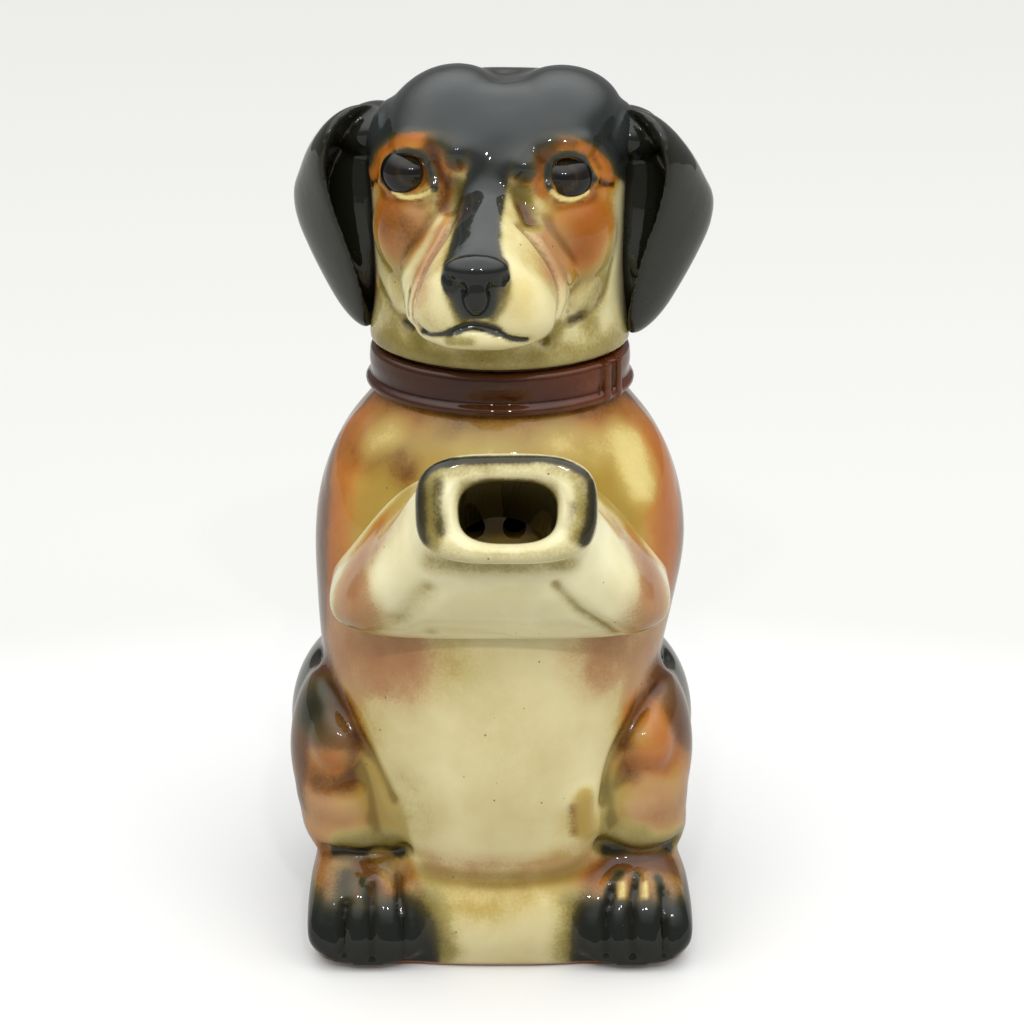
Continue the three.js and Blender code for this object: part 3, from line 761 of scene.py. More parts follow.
tail = skinned("tail_loop", [stack("tail", rings, steps=1)], voxel=0.9, rounds=4)
# %% [markdown]
# ## The head
#
# The head is built looking straight ahead, and turned on its seat by the small angle that the photo shows before
# any detail is placed on it.
# %% Skull, cheeks and muzzle
SEAT = RIM + 0.3
HEAD_TURN = -5.3  # degrees
SKULL_LEAN = 2.2  # how far the top of the skull leans to the right
HEAD_ROWS = (  # height over the seat, half width, front and back depths
    (0, 31, 31, 31), (3.3, 30.8, 30.5, 30.5), (8.5, 30, 28.2, 28.8), (16.3, 29.6, 27.3, 27.6),
    (24.2, 29.5, 28.5, 27.3), (34, 29.6, 27.6, 27.6), (43, 29.8, 26.2, 28.5), (50, 28.4, 23.6, 27.4),
    (55, 25.8, 20.8, 24.6), (58.8, 22, 17, 20.4), (61.2, 17, 12.6, 15), (62.3, 11, 8, 9),
)
MUZZLE_REACH = 56.0
MUZZLE_HEIGHT = 65.3
MUZZLE_ROWS = (  # share of the reach, share of the height, half width, half height, taper
    (0.25, 0.46, 18.2, 15.4, 0.45), (0.42, 0.44, 17.4, 14.9, 0.5), (0.56, 0.4, 16.6, 13.9, 0.52),
    (0.7, 0.36, 15.8, 12.8, 0.5), (0.82, 0.335, 14.7, 11.9, 0.45), (0.9, 0.325, 12.6, 10.5, 0.36),
    (0.95, 0.325, 8.8, 7.6, 0.25),
)


def over_seat(place):
    return place[0], place[1], place[2] + SEAT


rings = [
    oval(SEAT + up, half, front, back, power=2 + 0.6 * step(up, 12, 34)) for up, half, front, back in HEAD_ROWS
]
lumps = [stack("skull", rings)]
rings = [
    section(-far * MUZZLE_REACH, SEAT + up * MUZZLE_HEIGHT, half, height, power=2.2, taper=taper, upright=True)
    for far, up, half, height, taper in MUZZLE_ROWS
]
lumps.append(stack("muzzle", rings))
for side in (-1, 1):
    lumps += [
        ball("crown", over_seat((side * 11.9, -1.4, 50.3)), (16.2, 21.5, 14.1)),
        ball("cheek", over_seat((side * 14.4, -13, 29.5)), (13.8, 14, 14.5)),
        ball("temple", over_seat((side * 22.5, 0, 49.6)), (10.5, 14, 8), roll=side * 20),
        ball("brow", over_seat((side * 14, -18.9, 49.6)), (8.5, 5.7, 4.1)),
    ]
head = skinned("dog_head", lumps, voxel=0.6, rounds=26)


def turned_head(piece):
    """Turns a piece of the head round the pot's upright axis."""
    taken(piece)
    piece.rotation_euler.z = math.radians(HEAD_TURN)
    bpy.ops.object.transform_apply(location=False, rotation=True, scale=False)
    return piece


levelled(head, SEAT)
turned_head(head)
points = points_of(head)
points[:, 0] += SKULL_LEAN * step(points[:, 2] - SEAT, 46, 62)
put(head, points)
print("head:", len(head.data.polygons), "faces")
# %% Ears
EAR_ROWS = (  # height over the seat, its front and back edges in plan, its thickness and how far it bows out
    (56.2, (30, -5), (25, 9), 4.5, 1.6), (54.6, (33.5, -9.5), (24, 13), 7.5, 3),
    (51, (36.8, -12.8), (23, 15.5), 9.4, 5.5), (46, (39, -14.8), (22.5, 17.5), 9.6, 9),
    (40.5, (39.3, -15.3), (22.5, 18.5), 9.4, 12.2), (34, (37.6, -14.8), (22.5, 18.5), 9.4, 15.9),
    (27, (35.2, -14.2), (22.5, 17.5), 9.4, 16.6), (20, (33.2, -13), (23, 15.5), 9.4, 14.2),
    (13, (31.9, -11), (24, 13), 9.2, 10.5), (7.5, (31.5, -8.6), (25.5, 11), 8.8, 6.6),
    (4, (31.8, -6), (28, 8), 6.8, 2.8), (2.2, (32, -3.4), (29.5, 5), 3.6, 0.8),
)
EAR_TILT = 0.3  # how steeply the top of an ear falls away to the back


def ear_ring(side, up, front, back, thick, bow, vertices=64):
    """One level of the ear: a long oval from its front edge to its back edge, bowed out like a shell."""
    turn = np.arange(vertices) / vertices * 2 * np.pi
    along, across = np.cos(turn), np.sin(turn)
    front, back = np.array(front, float), np.array(back, float)
    way = (back - front) / np.linalg.norm(back - front)
    out = np.array((way[1], -way[0]))
    flat = (front + back) / 2 + along[:, None] * (back - front) / 2
    flat = flat + out * (bow * (1 - along**2) + across * thick / 2)[:, None]
    fall = EAR_TILT * float(step(up, 28, 52)) * (flat[:, 1] + 6)
    ring = np.c_[flat[:, 0] * side, flat[:, 1], SEAT + up - fall]
    return ring if side > 0 else ring[(-np.arange(vertices)) % vertices]


ears = []
for side, name in ((-1, "dog_left_ear"), (1, "dog_right_ear")):
    flap = stack(name, [ear_ring(side, *row) for row in EAR_ROWS])
    root = ball("root", over_seat((side * 30, 1.5, 49)), (8.5, 11, 6), roll=side * 14)
    inside = ball("inside", over_seat((side * 32.5, 4, 29)), (9.5, 10.5, 25))
    ears.append(turned_head(skinned(name, [flap, root, inside], voxel=0.7, rounds=7)))
left_ear, right_ear = ears
# %% [markdown]
# ## The face
#
# The face is what the maker worked on longest, so here every swelling and crease is placed where it is seen:
# brows that arch over the eyes and end in a knob beside the bridge, a pit inside each eye, lids, the folds that
# bound the flews, and a mouth that sags at its corners.
# %% Brows, pits, folds and mouth
BROWS = (
    ((373, 168), (379, 148), (397, 136), (420, 132), (442, 137), (460, 152)),
    ((612, 172), (608, 158), (594, 147), (577, 138), (553, 135), (535, 145), (521, 166)),
)
LIDS = (
    ((384, 180), (385, 165), (394, 155), (407, 152), (421, 155), (429, 166), (435, 188)),
    ((549, 186), (548, 170), (556, 158), (570, 154), (584, 160), (594, 178)),
)
LOWER_LIDS = (
    ((384, 181), (391, 190), (404, 196), (420, 195), (433, 189)),
    ((549, 187), (557, 196), (572, 198), (585, 193), (594, 180)),
)
CORNERS = (((383, 177), (372, 184)), ((595, 179), (605, 184), (613, 184)))
FOLDS = (
    ((455, 213), (442, 239), (428, 262), (416, 292), (413, 318), (421, 331)),
    ((520, 222), (538, 244), (555, 272), (561, 300), (555, 324), (544, 339)),
)
MOUTH = (
    (423, 331), (432, 334), (441, 334), (450, 332), (458, 330), (466, 327), (474, 326), (482, 327), (490, 329),
    (497, 332), (504, 335), (512, 338), (520, 339), (526, 339),
)
LIP = ((450, 341), (470, 342), (500, 343))
EYES = (((407, 172),), ((569, 175),))
PITS = (((455, 188), (452, 208)), ((520, 192), (527, 220)))
KNOBS = (((459, 152),), ((521, 168),))
pressed(
    head,
    *each(BROWS, 3.4, 0.9), *each(KNOBS, 3.6, 2.5),
    # between brow and bridge, and the pits inside the eyes
    (((475, 144), (474, 172)), 3.4, -0.7),
    (((505, 150), (503, 178)), 3.4, -0.7),
    *each(PITS, 2.6, -1.5),
    # sockets and lids
    *each(EYES, 5.5, -1.6), *each(LIDS, 1.5, 1.3), *each(LOWER_LIDS, 1.4, 0.9), *each(CORNERS, 1.0, -0.6),
    # folds, flews and mouth
    *each(FOLDS, 1.4, -1.2),
    (((409, 288), (409, 312)), 1.2, -0.5),
    (((569, 282), (571, 308)), 1.2, -0.5),
    (((440, 290), (436, 315)), 6.5, 1.2),
    (((538, 290), (540, 315)), 6.5, 1.2),
    (((405, 275), (402, 300)), 6.0, 0.9),
    (((585, 275), (585, 300)), 6.0, 0.9),
    (MOUTH, 1.1, -1.0),
    (MOUTH[4:10], 1.2, -0.8),
    (LIP, 2.6, 0.9),
    (((405, 320), (416, 327)), 1.6, -0.8),
    (((569, 321), (581, 315)), 1.6, -0.8),
    # the dip between the lobes of the skull
    (((504, 71), (500, 100)), 5.0, -1.0),
    # the jowls' lower edges
    (((379, 283), (393, 307), (411, 327)), 1.4, -0.7),
    (((613, 262), (607, 288), (592, 309), (572, 322)), 1.4, -0.7),
)
BRIDGE = ((489, 128), (489, 150), (490, 172))
BRIDGE_SIDES = (((472, 178), (466, 212)), ((501, 180), (504, 212)))
wiped(head, seen(head, *BRIDGE), 7)
for side in BRIDGE_SIDES:
    wiped(head, seen(head, *side), 3.2)
sponged(head, 2)
skins.pop(head.name)
print("face pressed")
# %% Eyeballs and nose
BALLS = ((411, 172), (564, 177))
EYE_SET = 3.3  # how far an eye's middle lies behind the bottom of its socket
eyes = []
for name, pixel in zip(("left_eye", "right_eye"), BALLS):
    socket = seen(head, pixel)[0]
    sight = (socket - eye_point / MM).normalized()
    eyes.append(ball(name, socket + sight * EYE_SET, (7.0, 6.4, 6.0)))
NOSE_MIDDLE = (476, 284)
NOSE_SET = 1.6  # how far the nose's middle lies behind the muzzle's skin
nose_place = seen(head, NOSE_MIDDLE)[0] + Vector((0, NOSE_SET, 0))


def by_nose(right, back, up):
    return nose_place + Vector((right, back, up))


lumps = [
    ball("pad", by_nose(0, 0.2, 2.6), (7.2, 4.6, 3.4)),
    ball("column", by_nose(0, -0.9, -2.2), (3.3, 3.4, 5.2)),
    ball("wing", by_nose(-4.6, 0.5, 0.2), (3.2, 3.4, 3.2)),
    ball("wing", by_nose(4.6, 0.5, 0.2), (3.2, 3.4, 3.2)),
]
nose = skinned("nose_pad", lumps, voxel=0.35, rounds=16)
NOSTRILS = (((450, 281), (456, 289), (463, 290)), ((505, 281), (499, 289), (492, 290)))
pressed(nose, *each(NOSTRILS, 1.1, -0.8))
# %% Irises and pupils
IRIS_RADIUS = 3.4
IRIS_STEPS = 12
for eye, pixel in zip(eyes, BALLS):
    pupil = seen(eye, pixel)[0]
    sight = (pupil - eye_point / MM).normalized()
    right = sight.cross(Vector((0, 0, 1))).normalized()
    up = right.cross(sight)
    turns = [n / IRIS_STEPS * 2 * math.pi for n in range(IRIS_STEPS + 1)]
    around = [pupil + (right * math.cos(t) + up * math.sin(t)) * IRIS_RADIUS for t in turns]
    press(eye, around, 0.7, -0.35)  # a groove round the iris
    press(eye, [pupil], 2.2, 0.3)
print("eyes and nose set in")
# %% [markdown]
# The head is a lid, so it is hollow. Under its seat a ring turned like the collar drops into the neck, and keeps
# it in place while tea is poured.
# %% Hollow and flange
FLANGE_RADIUS = 24.1
FLANGE_BORE = 20.7
FLANGE_DEPTH = 12.0
HEAD_WALL = 4.6
BORE_BELOW, BORE_ABOVE = 20.0, 8.0  # how far the bore runs below and above the seat
flange_foot = SEAT - FLANGE_DEPTH
flange = turned("lid_flange", [
    (FLANGE_BORE, SEAT + 1), (FLANGE_BORE, flange_foot + 0.9), (FLANGE_BORE + 0.3, flange_foot + 0.2),
    (FLANGE_BORE + 1, flange_foot), (FLANGE_RADIUS - 1.4, flange_foot),
    (FLANGE_RADIUS - 0.4, flange_foot + 0.4), (FLANGE_RADIUS, flange_foot + 1.4),
    (FLANGE_RADIUS, SEAT - 4), (FLANGE_RADIUS, SEAT + 1),
])
rings = [
    oval(SEAT + up, half - HEAD_WALL, front - HEAD_WALL, back - HEAD_WALL, vertices=64)
    for up, half, front, back in HEAD_ROWS[1:-3]
]
bore = rod("bore", FLANGE_BORE, BORE_BELOW + BORE_ABOVE, (0, 0, SEAT + (BORE_ABOVE - BORE_BELOW) / 2))
hollowed(head, turned_head(stack("hollow", rings)), bore)
print("head hollowed:", len(head.data.polygons), "faces")
# %% [markdown]
# ## Painting the coat
#
# The pot first: mustard over the chest, warm sides, a pale belly, dark thighs with amber knees, and black toes. The
# black coat of the back starts a little behind the widest line, so from the front only its edge shows.
# Some light and shade is painted in as well: dark lines in the creases round the thighs, olive on the base beside
# the feet, and pale window reflections and highlights on the chest and toes.
# %% The pot's colours
THIGHS = (
    ((318, 652), (304, 656), (288, 680), (282, 740), (288, 800), (304, 846), (345, 851), (405, 850), (402, 812),
     (384, 775), (360, 728), (338, 686)),
    ((666, 657), (684, 664), (700, 700), (702, 770), (694, 815), (674, 848), (640, 852), (606, 850), (604, 820),
     (608, 775), (622, 730), (646, 690)),
)
PASTERNS = (
    ((310, 848), (345, 853), (402, 852), (416, 874), (426, 900), (424, 925), (395, 905), (306, 905)),
    ((606, 852), (640, 854), (676, 848), (690, 905), (606, 905), (586, 920), (580, 892), (592, 866)),
)
TOES = (
    ((300, 918), (318, 916), (345, 914), (372, 912), (392, 908), (408, 914), (424, 930), (428, 972), (300, 975)),
    ((700, 908), (680, 906), (655, 906), (630, 904), (608, 900), (590, 908), (582, 930), (586, 972), (700, 975)),
)
skins.clear()
spots = points_of(body)
height = spots[:, 2]
turn = round_back(spots)
ahead = step(turn, 115, 85)
black_from = 84 - 8 * step(height, 78, 55) + 8 * step(height, 95, 130)  # degrees round, before the waves
black_from = black_from + 5 * np.sin(height / 15) + 3 * np.sin(height / 6 + 1)
wash(body, "amber", 0.95 * step(height, 82, 100) * ahead)
for stain, cover, start, full in (
    ("amber", 0.8, -45, -15), ("orange", 0.8, -36, -8), ("brown", 0.85, -20, 2), ("black", 1, -4, 18),
):
    wash(body, stain, cover * step(turn, black_from + start, black_from + full))
wash(body, "orange", 0.6 * step(height, STRAP_BOTTOM - 10, STRAP_BOTTOM - 1) * ahead)
wash(body, "brown", 0.4 * step(height, STRAP_BOTTOM - 9, STRAP_BOTTOM + 1) * ahead)
for thigh, pastern in zip(THIGHS, PASTERNS):
    for stain, cover, outline, soft in (
        ("amber", 0.95, thigh, 6), ("amber", 1, pastern, 5),
        ("orange", 0.45, pastern, 6), ("brown", 0.3, pastern, 6),
    ):
        wash(body, stain, cover * within(body, outline, soft) * ahead)
sprays(
    body, "amber",
    (((330, 762), (338, 750)), 10, 1.0), (((652, 760), (650, 745)), 10, 1.0),
    (((585, 800), (587, 828)), 4.6, 0.95), (((330, 764), (338, 756)), 7, 0.8),
    (((650, 762), (652, 752)), 7, 0.8), (((575, 822), (596, 838)), 7, 0.4),
    (((430, 880), (470, 900), (520, 890)), 11, 0.5), (((560, 870), (590, 900)), 10, 0.8),
    (((618, 785), (626, 815)), 9, 0.5), (((345, 650), (440, 655)), 15, 0.4),
    (((600, 650), (650, 655)), 14, 0.35),
)
sprays(
    body, "orange",
    (((348, 432), (333, 500), (328, 560), (333, 620)), 17, 0.85),
    (((660, 450), (668, 500), (670, 560), (665, 620)), 17, 0.9), (((330, 760), (340, 758)), 7, 0.95),
    (((642, 762), (660, 762)), 9, 0.95), (((662, 735), (672, 760)), 6, 0.8),
    (((312, 790), (322, 825)), 9, 0.75), (((330, 790), (336, 815)), 11, 0.35),
    (((377, 876), (386, 900), (396, 940)), 2.6, 0.95), (((640, 700), (664, 675)), 10, 0.9),
    (((684, 700),), 8, 0.7), (((320, 700), (338, 735)), 9, 0.6), (((596, 868), (584, 890)), 6, 0.6),
)
sprays(
    body, "pink",
    (((335, 645), (395, 660)), 17, 0.75), (((655, 650), (605, 650)), 17, 0.6),
    (((310, 805), (338, 822)), 10, 0.6), (((684, 800), (655, 818)), 11, 0.6),
    (((430, 860), (520, 868), (590, 850)), 7, 0.3), (((640, 790), (655, 800)), 8, 0.4),
)
# The olive strokes along the creases between thighs and belly, in the creases under the thighs and on the base
# beside the feet are painted shade.
sprays(
    body, "olive",
    (((350, 740), (378, 790), (404, 832)), 7, 0.15), (((608, 790), (606, 825), (640, 836)), 5.5, 0.5),
    (((345, 845), (400, 843)), 6, 0.9), (((605, 842), (650, 846), (676, 838)), 6, 0.9),
    (((428, 905), (438, 950)), 9, 0.75), (((576, 905), (570, 950)), 8, 0.7),
    (((342, 868), (392, 868)), 6, 0.5), (((440, 428), (500, 440), (560, 430)), 8, 0.35),
    (((380, 420), (400, 445)), 9, 0.2), (((410, 790), (420, 820)), 11, 0.25),
    (((480, 700), (520, 760)), 20, 0.12),
)
sprays(
    body, "brown",
    (((398, 460), (406, 470)), 6.5, 0.4), (((316, 676), (320, 722)), 11, 0.9), (((298, 700),), 7.5, 0.9),
    (((668, 680), (684, 720)), 11, 0.8), (((314, 736), (350, 738)), 5, 0.6),
    (((353, 752), (350, 778)), 3, 0.35), (((316, 783), (346, 784)), 5, 0.5),
    (((300, 735), (299, 790)), 8, 0.7), (((332, 450), (322, 520), (322, 610)), 9, 0.75),
    (((372, 880), (382, 905)), 2.6, 0.7), (((573, 808), (574, 832)), 2.0, 0.35),
    (((352, 440), (372, 452)), 9, 0.3), (((296, 745),), 5, 0.6), (((628, 748), (632, 776)), 4, 0.3),
    (((366, 870), (352, 905)), 5, 0.6), (((615, 866), (650, 862), (672, 866)), 5, 0.6),
    (((690, 740),), 5.5, 0.5), (((318, 656), (345, 702), (366, 745)), 5, 0.25),
    (((664, 666), (640, 704), (622, 740)), 4.5, 0.35),
)
feet = step(height, 21, 13) * step(spots[:, 1], -8, -26) * step(np.abs(spots[:, 0]), 14, 21)
wash(body, "black", feet * ahead)
for toes in TOES:
    wash(body, "black", 0.9 * within(body, toes, 7) * step(spots[:, 1], -16, -30))
# The two thin black lines along the creases under the thighs are painted shadow.
sprays(
    body, "black",
    (((304, 675), (308, 712)), 8.5, 0.8), (((318, 690), (322, 722)), 7, 0.5),
    (((335, 850), (402, 852)), 2.4, 0.9), (((606, 850), (670, 847)), 2.4, 0.9), (((312, 920),), 7, 0.85),
    (((692, 920),), 6, 0.75), (((396, 925), (418, 945)), 9, 0.85), (((345, 876), (345, 905)), 4.5, 0.6),
    (((362, 880), (366, 902)), 1.8, 0.8), (((592, 930), (600, 950)), 7, 0.85),
    (((620, 873), (610, 890), (608, 905)), 1.8, 0.85), (((637, 875), (634, 895)), 1.7, 0.8),
    (((658, 878), (662, 900)), 2, 0.8), (((318, 570), (314, 645)), 3, 0.5),
)
# The pale straw patches on the chest are painted window reflections, brightest on the right, and the two short
# strokes on the right toes are painted highlights.
sprays(
    body, "straw_and_sheen",
    (((628, 448), (640, 476)), 10, 0.75), (((375, 440), (392, 432)), 7, 0.35),
    (((560, 440), (590, 446)), 8, 0.3), (((470, 445), (500, 448)), 6, 0.2),
    (((622, 884), (622, 896)), 1.2, 0.6), (((645, 884), (645, 896)), 1.2, 0.6),
)
wash(body, "bare", step(height, 1.3, 0.7) + step(height, RIM - 0.5, RIM - 0.1))  # its foot and its rim
pooled(body, thin=0.02, thick=0.16)
print("pot sprayed")
# %% Collar, forelegs, tail and ears
skins.clear()
spots = points_of(collar)
turn = round_back(spots)
wash(collar, "black", 0.75 * step(turn, 95, 150))
wash(collar, "brown", 0.45 + 0.5 * step(-spots[:, 0], -22, 4))
sprays(collar, "orange", (((560, 398), (612, 385)), 9, 0.6), (((400, 400), (380, 392)), 6, 0.25))
pooled(collar, 0.01, 0.12, edge=0.15)

OPENING = ((455, 490), (470, 480), (545, 480), (560, 490), (562, 530), (548, 542), (468, 542), (455, 532))
forward = points_of(forelegs)[:, 1]
wash(forelegs, "brown", within(forelegs, OPENING, 3) * step(forward, -67.8, -65))
wash(forelegs, "olive", 0.5 * within(forelegs, OPENING, 5) * step(forward, -69.8, -66.5))
sprays(
    forelegs, "amber",
    (((356, 560), (348, 620)), 13, 0.75), (((646, 560), (657, 620)), 13, 0.75),
    (((376, 528), (405, 498)), 10, 0.6), (((630, 525), (605, 498)), 10, 0.6),
)
sprays(
    forelegs, "pink",
    (((356, 570), (350, 608)), 12, 0.8), (((650, 565), (654, 608)), 12, 0.8),
    (((380, 540), (398, 515)), 8, 0.35), (((628, 545), (608, 518)), 8, 0.35),
)
sprays(forelegs, "orange", (((376, 528), (350, 575)), 8, 0.7), (((636, 540), (656, 585)), 8, 0.75))
# The olive line just under the lip, the olive in the two dents and the spot in the crease under the forelegs are
# painted shade.
sprays(
    forelegs, "olive",
    (((430, 563), (500, 566), (570, 563)), 4, 0.4), (((398, 622), (412, 606), (426, 590)), 4.5, 0.25),
    (((556, 585), (568, 598), (582, 611), (600, 622), (617, 634)), 2.6, 0.3),
    (((428, 470), (427, 500), (429, 540)), 4.5, 0.75), (((430, 632),), 3, 0.35),
    (((582, 480), (584, 510), (578, 535)), 3.6, 0.55), (((445, 470), (500, 466), (570, 470)), 4, 0.35),
    (((440, 552), (500, 556), (570, 552)), 4, 0.25),
)
sprays(
    forelegs, "black",
    (((421, 478), (419, 505), (422, 538)), 3.2, 0.75), (((438, 482), (437, 505), (440, 532)), 2.2, 0.45),
    (((592, 484), (593, 515), (586, 540)), 3.0, 0.85), (((574, 505), (568, 526)), 1.6, 0.25),
    (((424, 474), (436, 465), (450, 461)), 2.6, 0.9),
    (((450, 461), (500, 459), (556, 460), (586, 474)), 2.0, 0.85),
)
pooled(forelegs, thin=0.02, thick=0.16)

wash(tail, "black", np.ones(len(tail.data.vertices)))
pooled(tail, 0.01, 0.12, edge=0.1)
for ear in (left_ear, right_ear):
    spots = points_of(ear)
    wash(ear, "black", 0.97 * np.ones(len(spots)))
    pooled(ear, 0.01, 0.15, edge=0.1)
    wash(ear, "amber", step(spots[:, 2] - SEAT, 14, 2) * step(spots[:, 1], 0, -8))
print("collar, forelegs, tail and ears sprayed")
# %% [markdown]
# The face has the black coat down to its brows and along the bridge, orange round the eyes and on the cheeks, cream
# on the muzzle, and olive where the glaze has run under the cheeks and over the skirt.
# Shade is painted round and beside the nose and under the lower lids.
# %% The face's colours
MASK = (
    (450, 270), (452, 240), (457, 212), (464, 188), (469, 168), (468, 154), (458, 144), (445, 136), (425, 131),
    (403, 132), (388, 140), (376, 153), (369, 168), (340, 172), (340, 40), (660, 40), (660, 180), (620, 178),
    (610, 161), (595, 147), (575, 137), (551, 135), (533, 143), (518, 157), (511, 172), (506, 192), (501, 214),
    (499, 240), (498, 270),
)
NOSE = (
    (452, 258), (500, 258), (509, 272), (508, 290), (500, 300), (493, 312), (485, 318), (468, 318), (461, 312),
    (454, 300), (444, 290), (443, 272),
)
skins.clear()
spots = points_of(head)
turn = round_back(spots, -1.5)
up = spots[:, 2] - SEAT
sprays(
    head, "amber",
    *each(BROWS, 8, 0.95), *each(PITS, 4, 0.95), (((400, 205), (392, 262)), 13, 0.8),
    (((585, 205), (584, 262)), 14, 0.9), (((456, 225), (445, 262)), 7, 0.4),
    (((515, 225), (540, 270)), 9, 0.3), *each(EYES, 12, 0.95),
)
sprays(
    head, "orange",
    *each(BROWS, 6.2, 0.95), *each(EYES, 10, 0.95), (((386, 212), (402, 236)), 11, 0.95),
    (((594, 215), (578, 244)), 12, 1.0), (((437, 158), (442, 182)), 4, 0.85),
    (((540, 165), (542, 190)), 3.6, 0.8), (((450, 214), (436, 244), (422, 268)), 2.8, 0.6),
    (((449, 190), (445, 207)), 2.6, 0.7),
)
sprays(
    head, "pink",
    (((440, 232), (424, 268), (420, 295)), 6.5, 0.45), (((536, 228), (548, 262), (552, 276)), 8, 0.45),
    (((420, 215), (404, 245)), 6, 0.4), (((560, 240), (562, 270)), 6, 0.4),
)
wash(head, "olive", 0.6 * step(up, 11, 2) * step(turn, 110, 80))
# The two olive strokes beside the foot of the nose are painted shade.
sprays(
    head, "olive",
    (((376, 290), (392, 318)), 7, 0.5), (((602, 285), (588, 315)), 7, 0.5),
    (((459, 184), (457, 210)), 3, 0.8), (((516, 190), (522, 206), (530, 224)), 4.4, 0.8),
    (((410, 325), (420, 342)), 3, 0.6), (((560, 325), (550, 342)), 3, 0.6),
    (((405, 262), (400, 290)), 6, 0.3), (((426, 318), (440, 326)), 5, 0.3),
    (((452, 296), (462, 318)), 2.8, 0.7), (((505, 296), (492, 318)), 2.8, 0.6), (LIP[:2], 2.4, 0.6),
    (((380, 340), (440, 362)), 4, 0.5),
)
# The two thin brown lines under the rims of the lower lids are painted shadow.
sprays(
    head, "brown",
    (((436, 140), (449, 145), (455, 160)), 4.4, 0.9), (((545, 142), (530, 156), (524, 172)), 4.8, 0.98),
    (((553, 138), (572, 142)), 3, 0.6), (((432, 150), (438, 175)), 2.4, 0.6), *each(EYES, 7.4, 0.85),
    (((388, 222), (408, 240)), 9, 0.4), (((590, 220), (582, 242)), 8, 0.22),
    (((520, 208), (530, 222)), 2.6, 0.6), *each(CORNERS, 1.0, 0.8), (FOLDS[0], 0.8, 0.35),
    (((424, 158), (431, 176)), 3.5, 0.85), (((552, 174), (555, 160)), 3.5, 0.85),
    (((446, 180), (442, 206)), 3, 0.5), (((398, 198), (420, 199)), 1.6, 0.45),
    (((556, 201), (580, 201)), 1.4, 0.35),
)
wash(head, "black", within(head, MASK, 7) * step(turn, 120, 90))
# Black under the nose; its soft edge on the muzzle is painted shade round the nose.
wash(head, "black", within(head, NOSE, 3.5) * step(turn, 60, 40))
black_from = 76 + 6 * step(up, 30, 10)
wash(head, "brown", 0.6 * step(turn, black_from - 12, black_from + 4) * step(up, 2, 14))
wash(head, "black", step(turn, black_from, black_from + 16))
# The two black strokes down the sides of the nose's column are painted shadow.
sprays(
    head, "black",
    *each(KNOBS, 4.8, 0.98), (((524, 158), (534, 145), (548, 138)), 2.8, 0.85),
    (((455, 148), (442, 139)), 2.8, 0.7), *each(LIDS, 1.4, 0.95), *each(LOWER_LIDS, 0.9, 0.6),
    (MOUTH, 1.1, 0.85), (MOUTH[3:10], 1.7, 0.95), (((450, 284), (455, 306), (464, 318)), 1.7, 0.5),
    (((509, 284), (503, 304), (492, 317)), 1.7, 0.4), (((406, 321), (415, 327)), 1.5, 0.5),
    (((570, 320), (580, 316)), 1.5, 0.45), (((410, 290), (409, 315)), 0.9, 0.4),
    (((568, 285), (568, 312)), 0.9, 0.3),
)
RIMS = (((393, 191), (404, 197), (420, 196), (430, 192)), ((552, 192), (561, 198), (574, 199), (588, 192)))
sprays(
    head, "straw_and_sheen",
    *each(RIMS, 0.8, 0.9), (((378, 280),), 2.4, 0.35), (((520, 290), (520, 310)), 6, 0.3),
)
for eye, pixel in zip(eyes, BALLS):  # a brown iris round a black pupil
    front = away(points_of(eye), seen(eye, pixel))
    wash(eye, "black", 1 - 0.6 * step(front, 2.0, 2.6) * step(front, 4.1, 3.5))
wash(head, "bare", step(up, 0.5, 0.25) * step(up, -1.0, -0.3))
pooled(head, thin=0.012, thick=0.1, edge=0.3)
wash(nose, "black", np.ones(len(nose.data.vertices)))
wash(flange, "bare", step(points_of(flange)[:, 2], SEAT - 3, SEAT - 1))
pooled(nose, 0.005, 0.06, edge=0.1)
print("head sprayed")
# %% [markdown]
# ## Stains and glaze
#
# An airbrush throws fine drops, so the edge of each stain is broken up by grain. Over the stains lies one thick,
# clear glaze. It is darker and greener where it pools, pale where it ran off an edge, and has the faint ripple of
# orange peel.
# %% Node helpers
def linked(tree, value, socket):
    """Gives a socket a value or a link."""
    if isinstance(value, bpy.types.NodeSocket):
        tree.links.new(value, socket)
    else:
        socket.default_value = value


def node(tree, kind, settings=(), **inputs):
    """Adds a node. Inputs are named as on the node, with _ for a space, or numbered as _0."""
    made = tree.nodes.new(kind)
    for key, value in dict(settings).items():
        setattr(made, key, value)
    for key, value in inputs.items():
        name = key.replace("_", " ").strip()
        linked(tree, value, made.inputs[int(name)] if name.isdigit() else made.inputs[name])
    return made


def sums(tree, operation, a, b=0.0, c=0.0, clamp=False):
    made = node(tree, "ShaderNodeMath", {"operation": operation, "use_clamp": clamp})
    for value, socket in zip((a, b, c), made.inputs):
        linked(tree, value, socket)
    return made.outputs[0]


def product(tree, a, b, clamp=False):
    return sums(tree, "MULTIPLY", a, b, clamp=clamp)


def blend(tree, share, a, b, kind="MIX"):
    """Colour a, and colour b by the share given. The two colours are the node's inputs 6 and 7."""
    settings = {"data_type": "RGBA", "blend_type": kind}
    return node(tree, "ShaderNodeMix", settings, _0=share, _6=a, _7=b).outputs[2]


def ramp(tree, value, low, high):
    """0 below low, 1 above high, and smooth between them."""
    settings = {"interpolation_type": "SMOOTHSTEP"}
    return node(tree, "ShaderNodeMapRange", settings, Value=value, From_Min=low, From_Max=high).outputs["Result"]


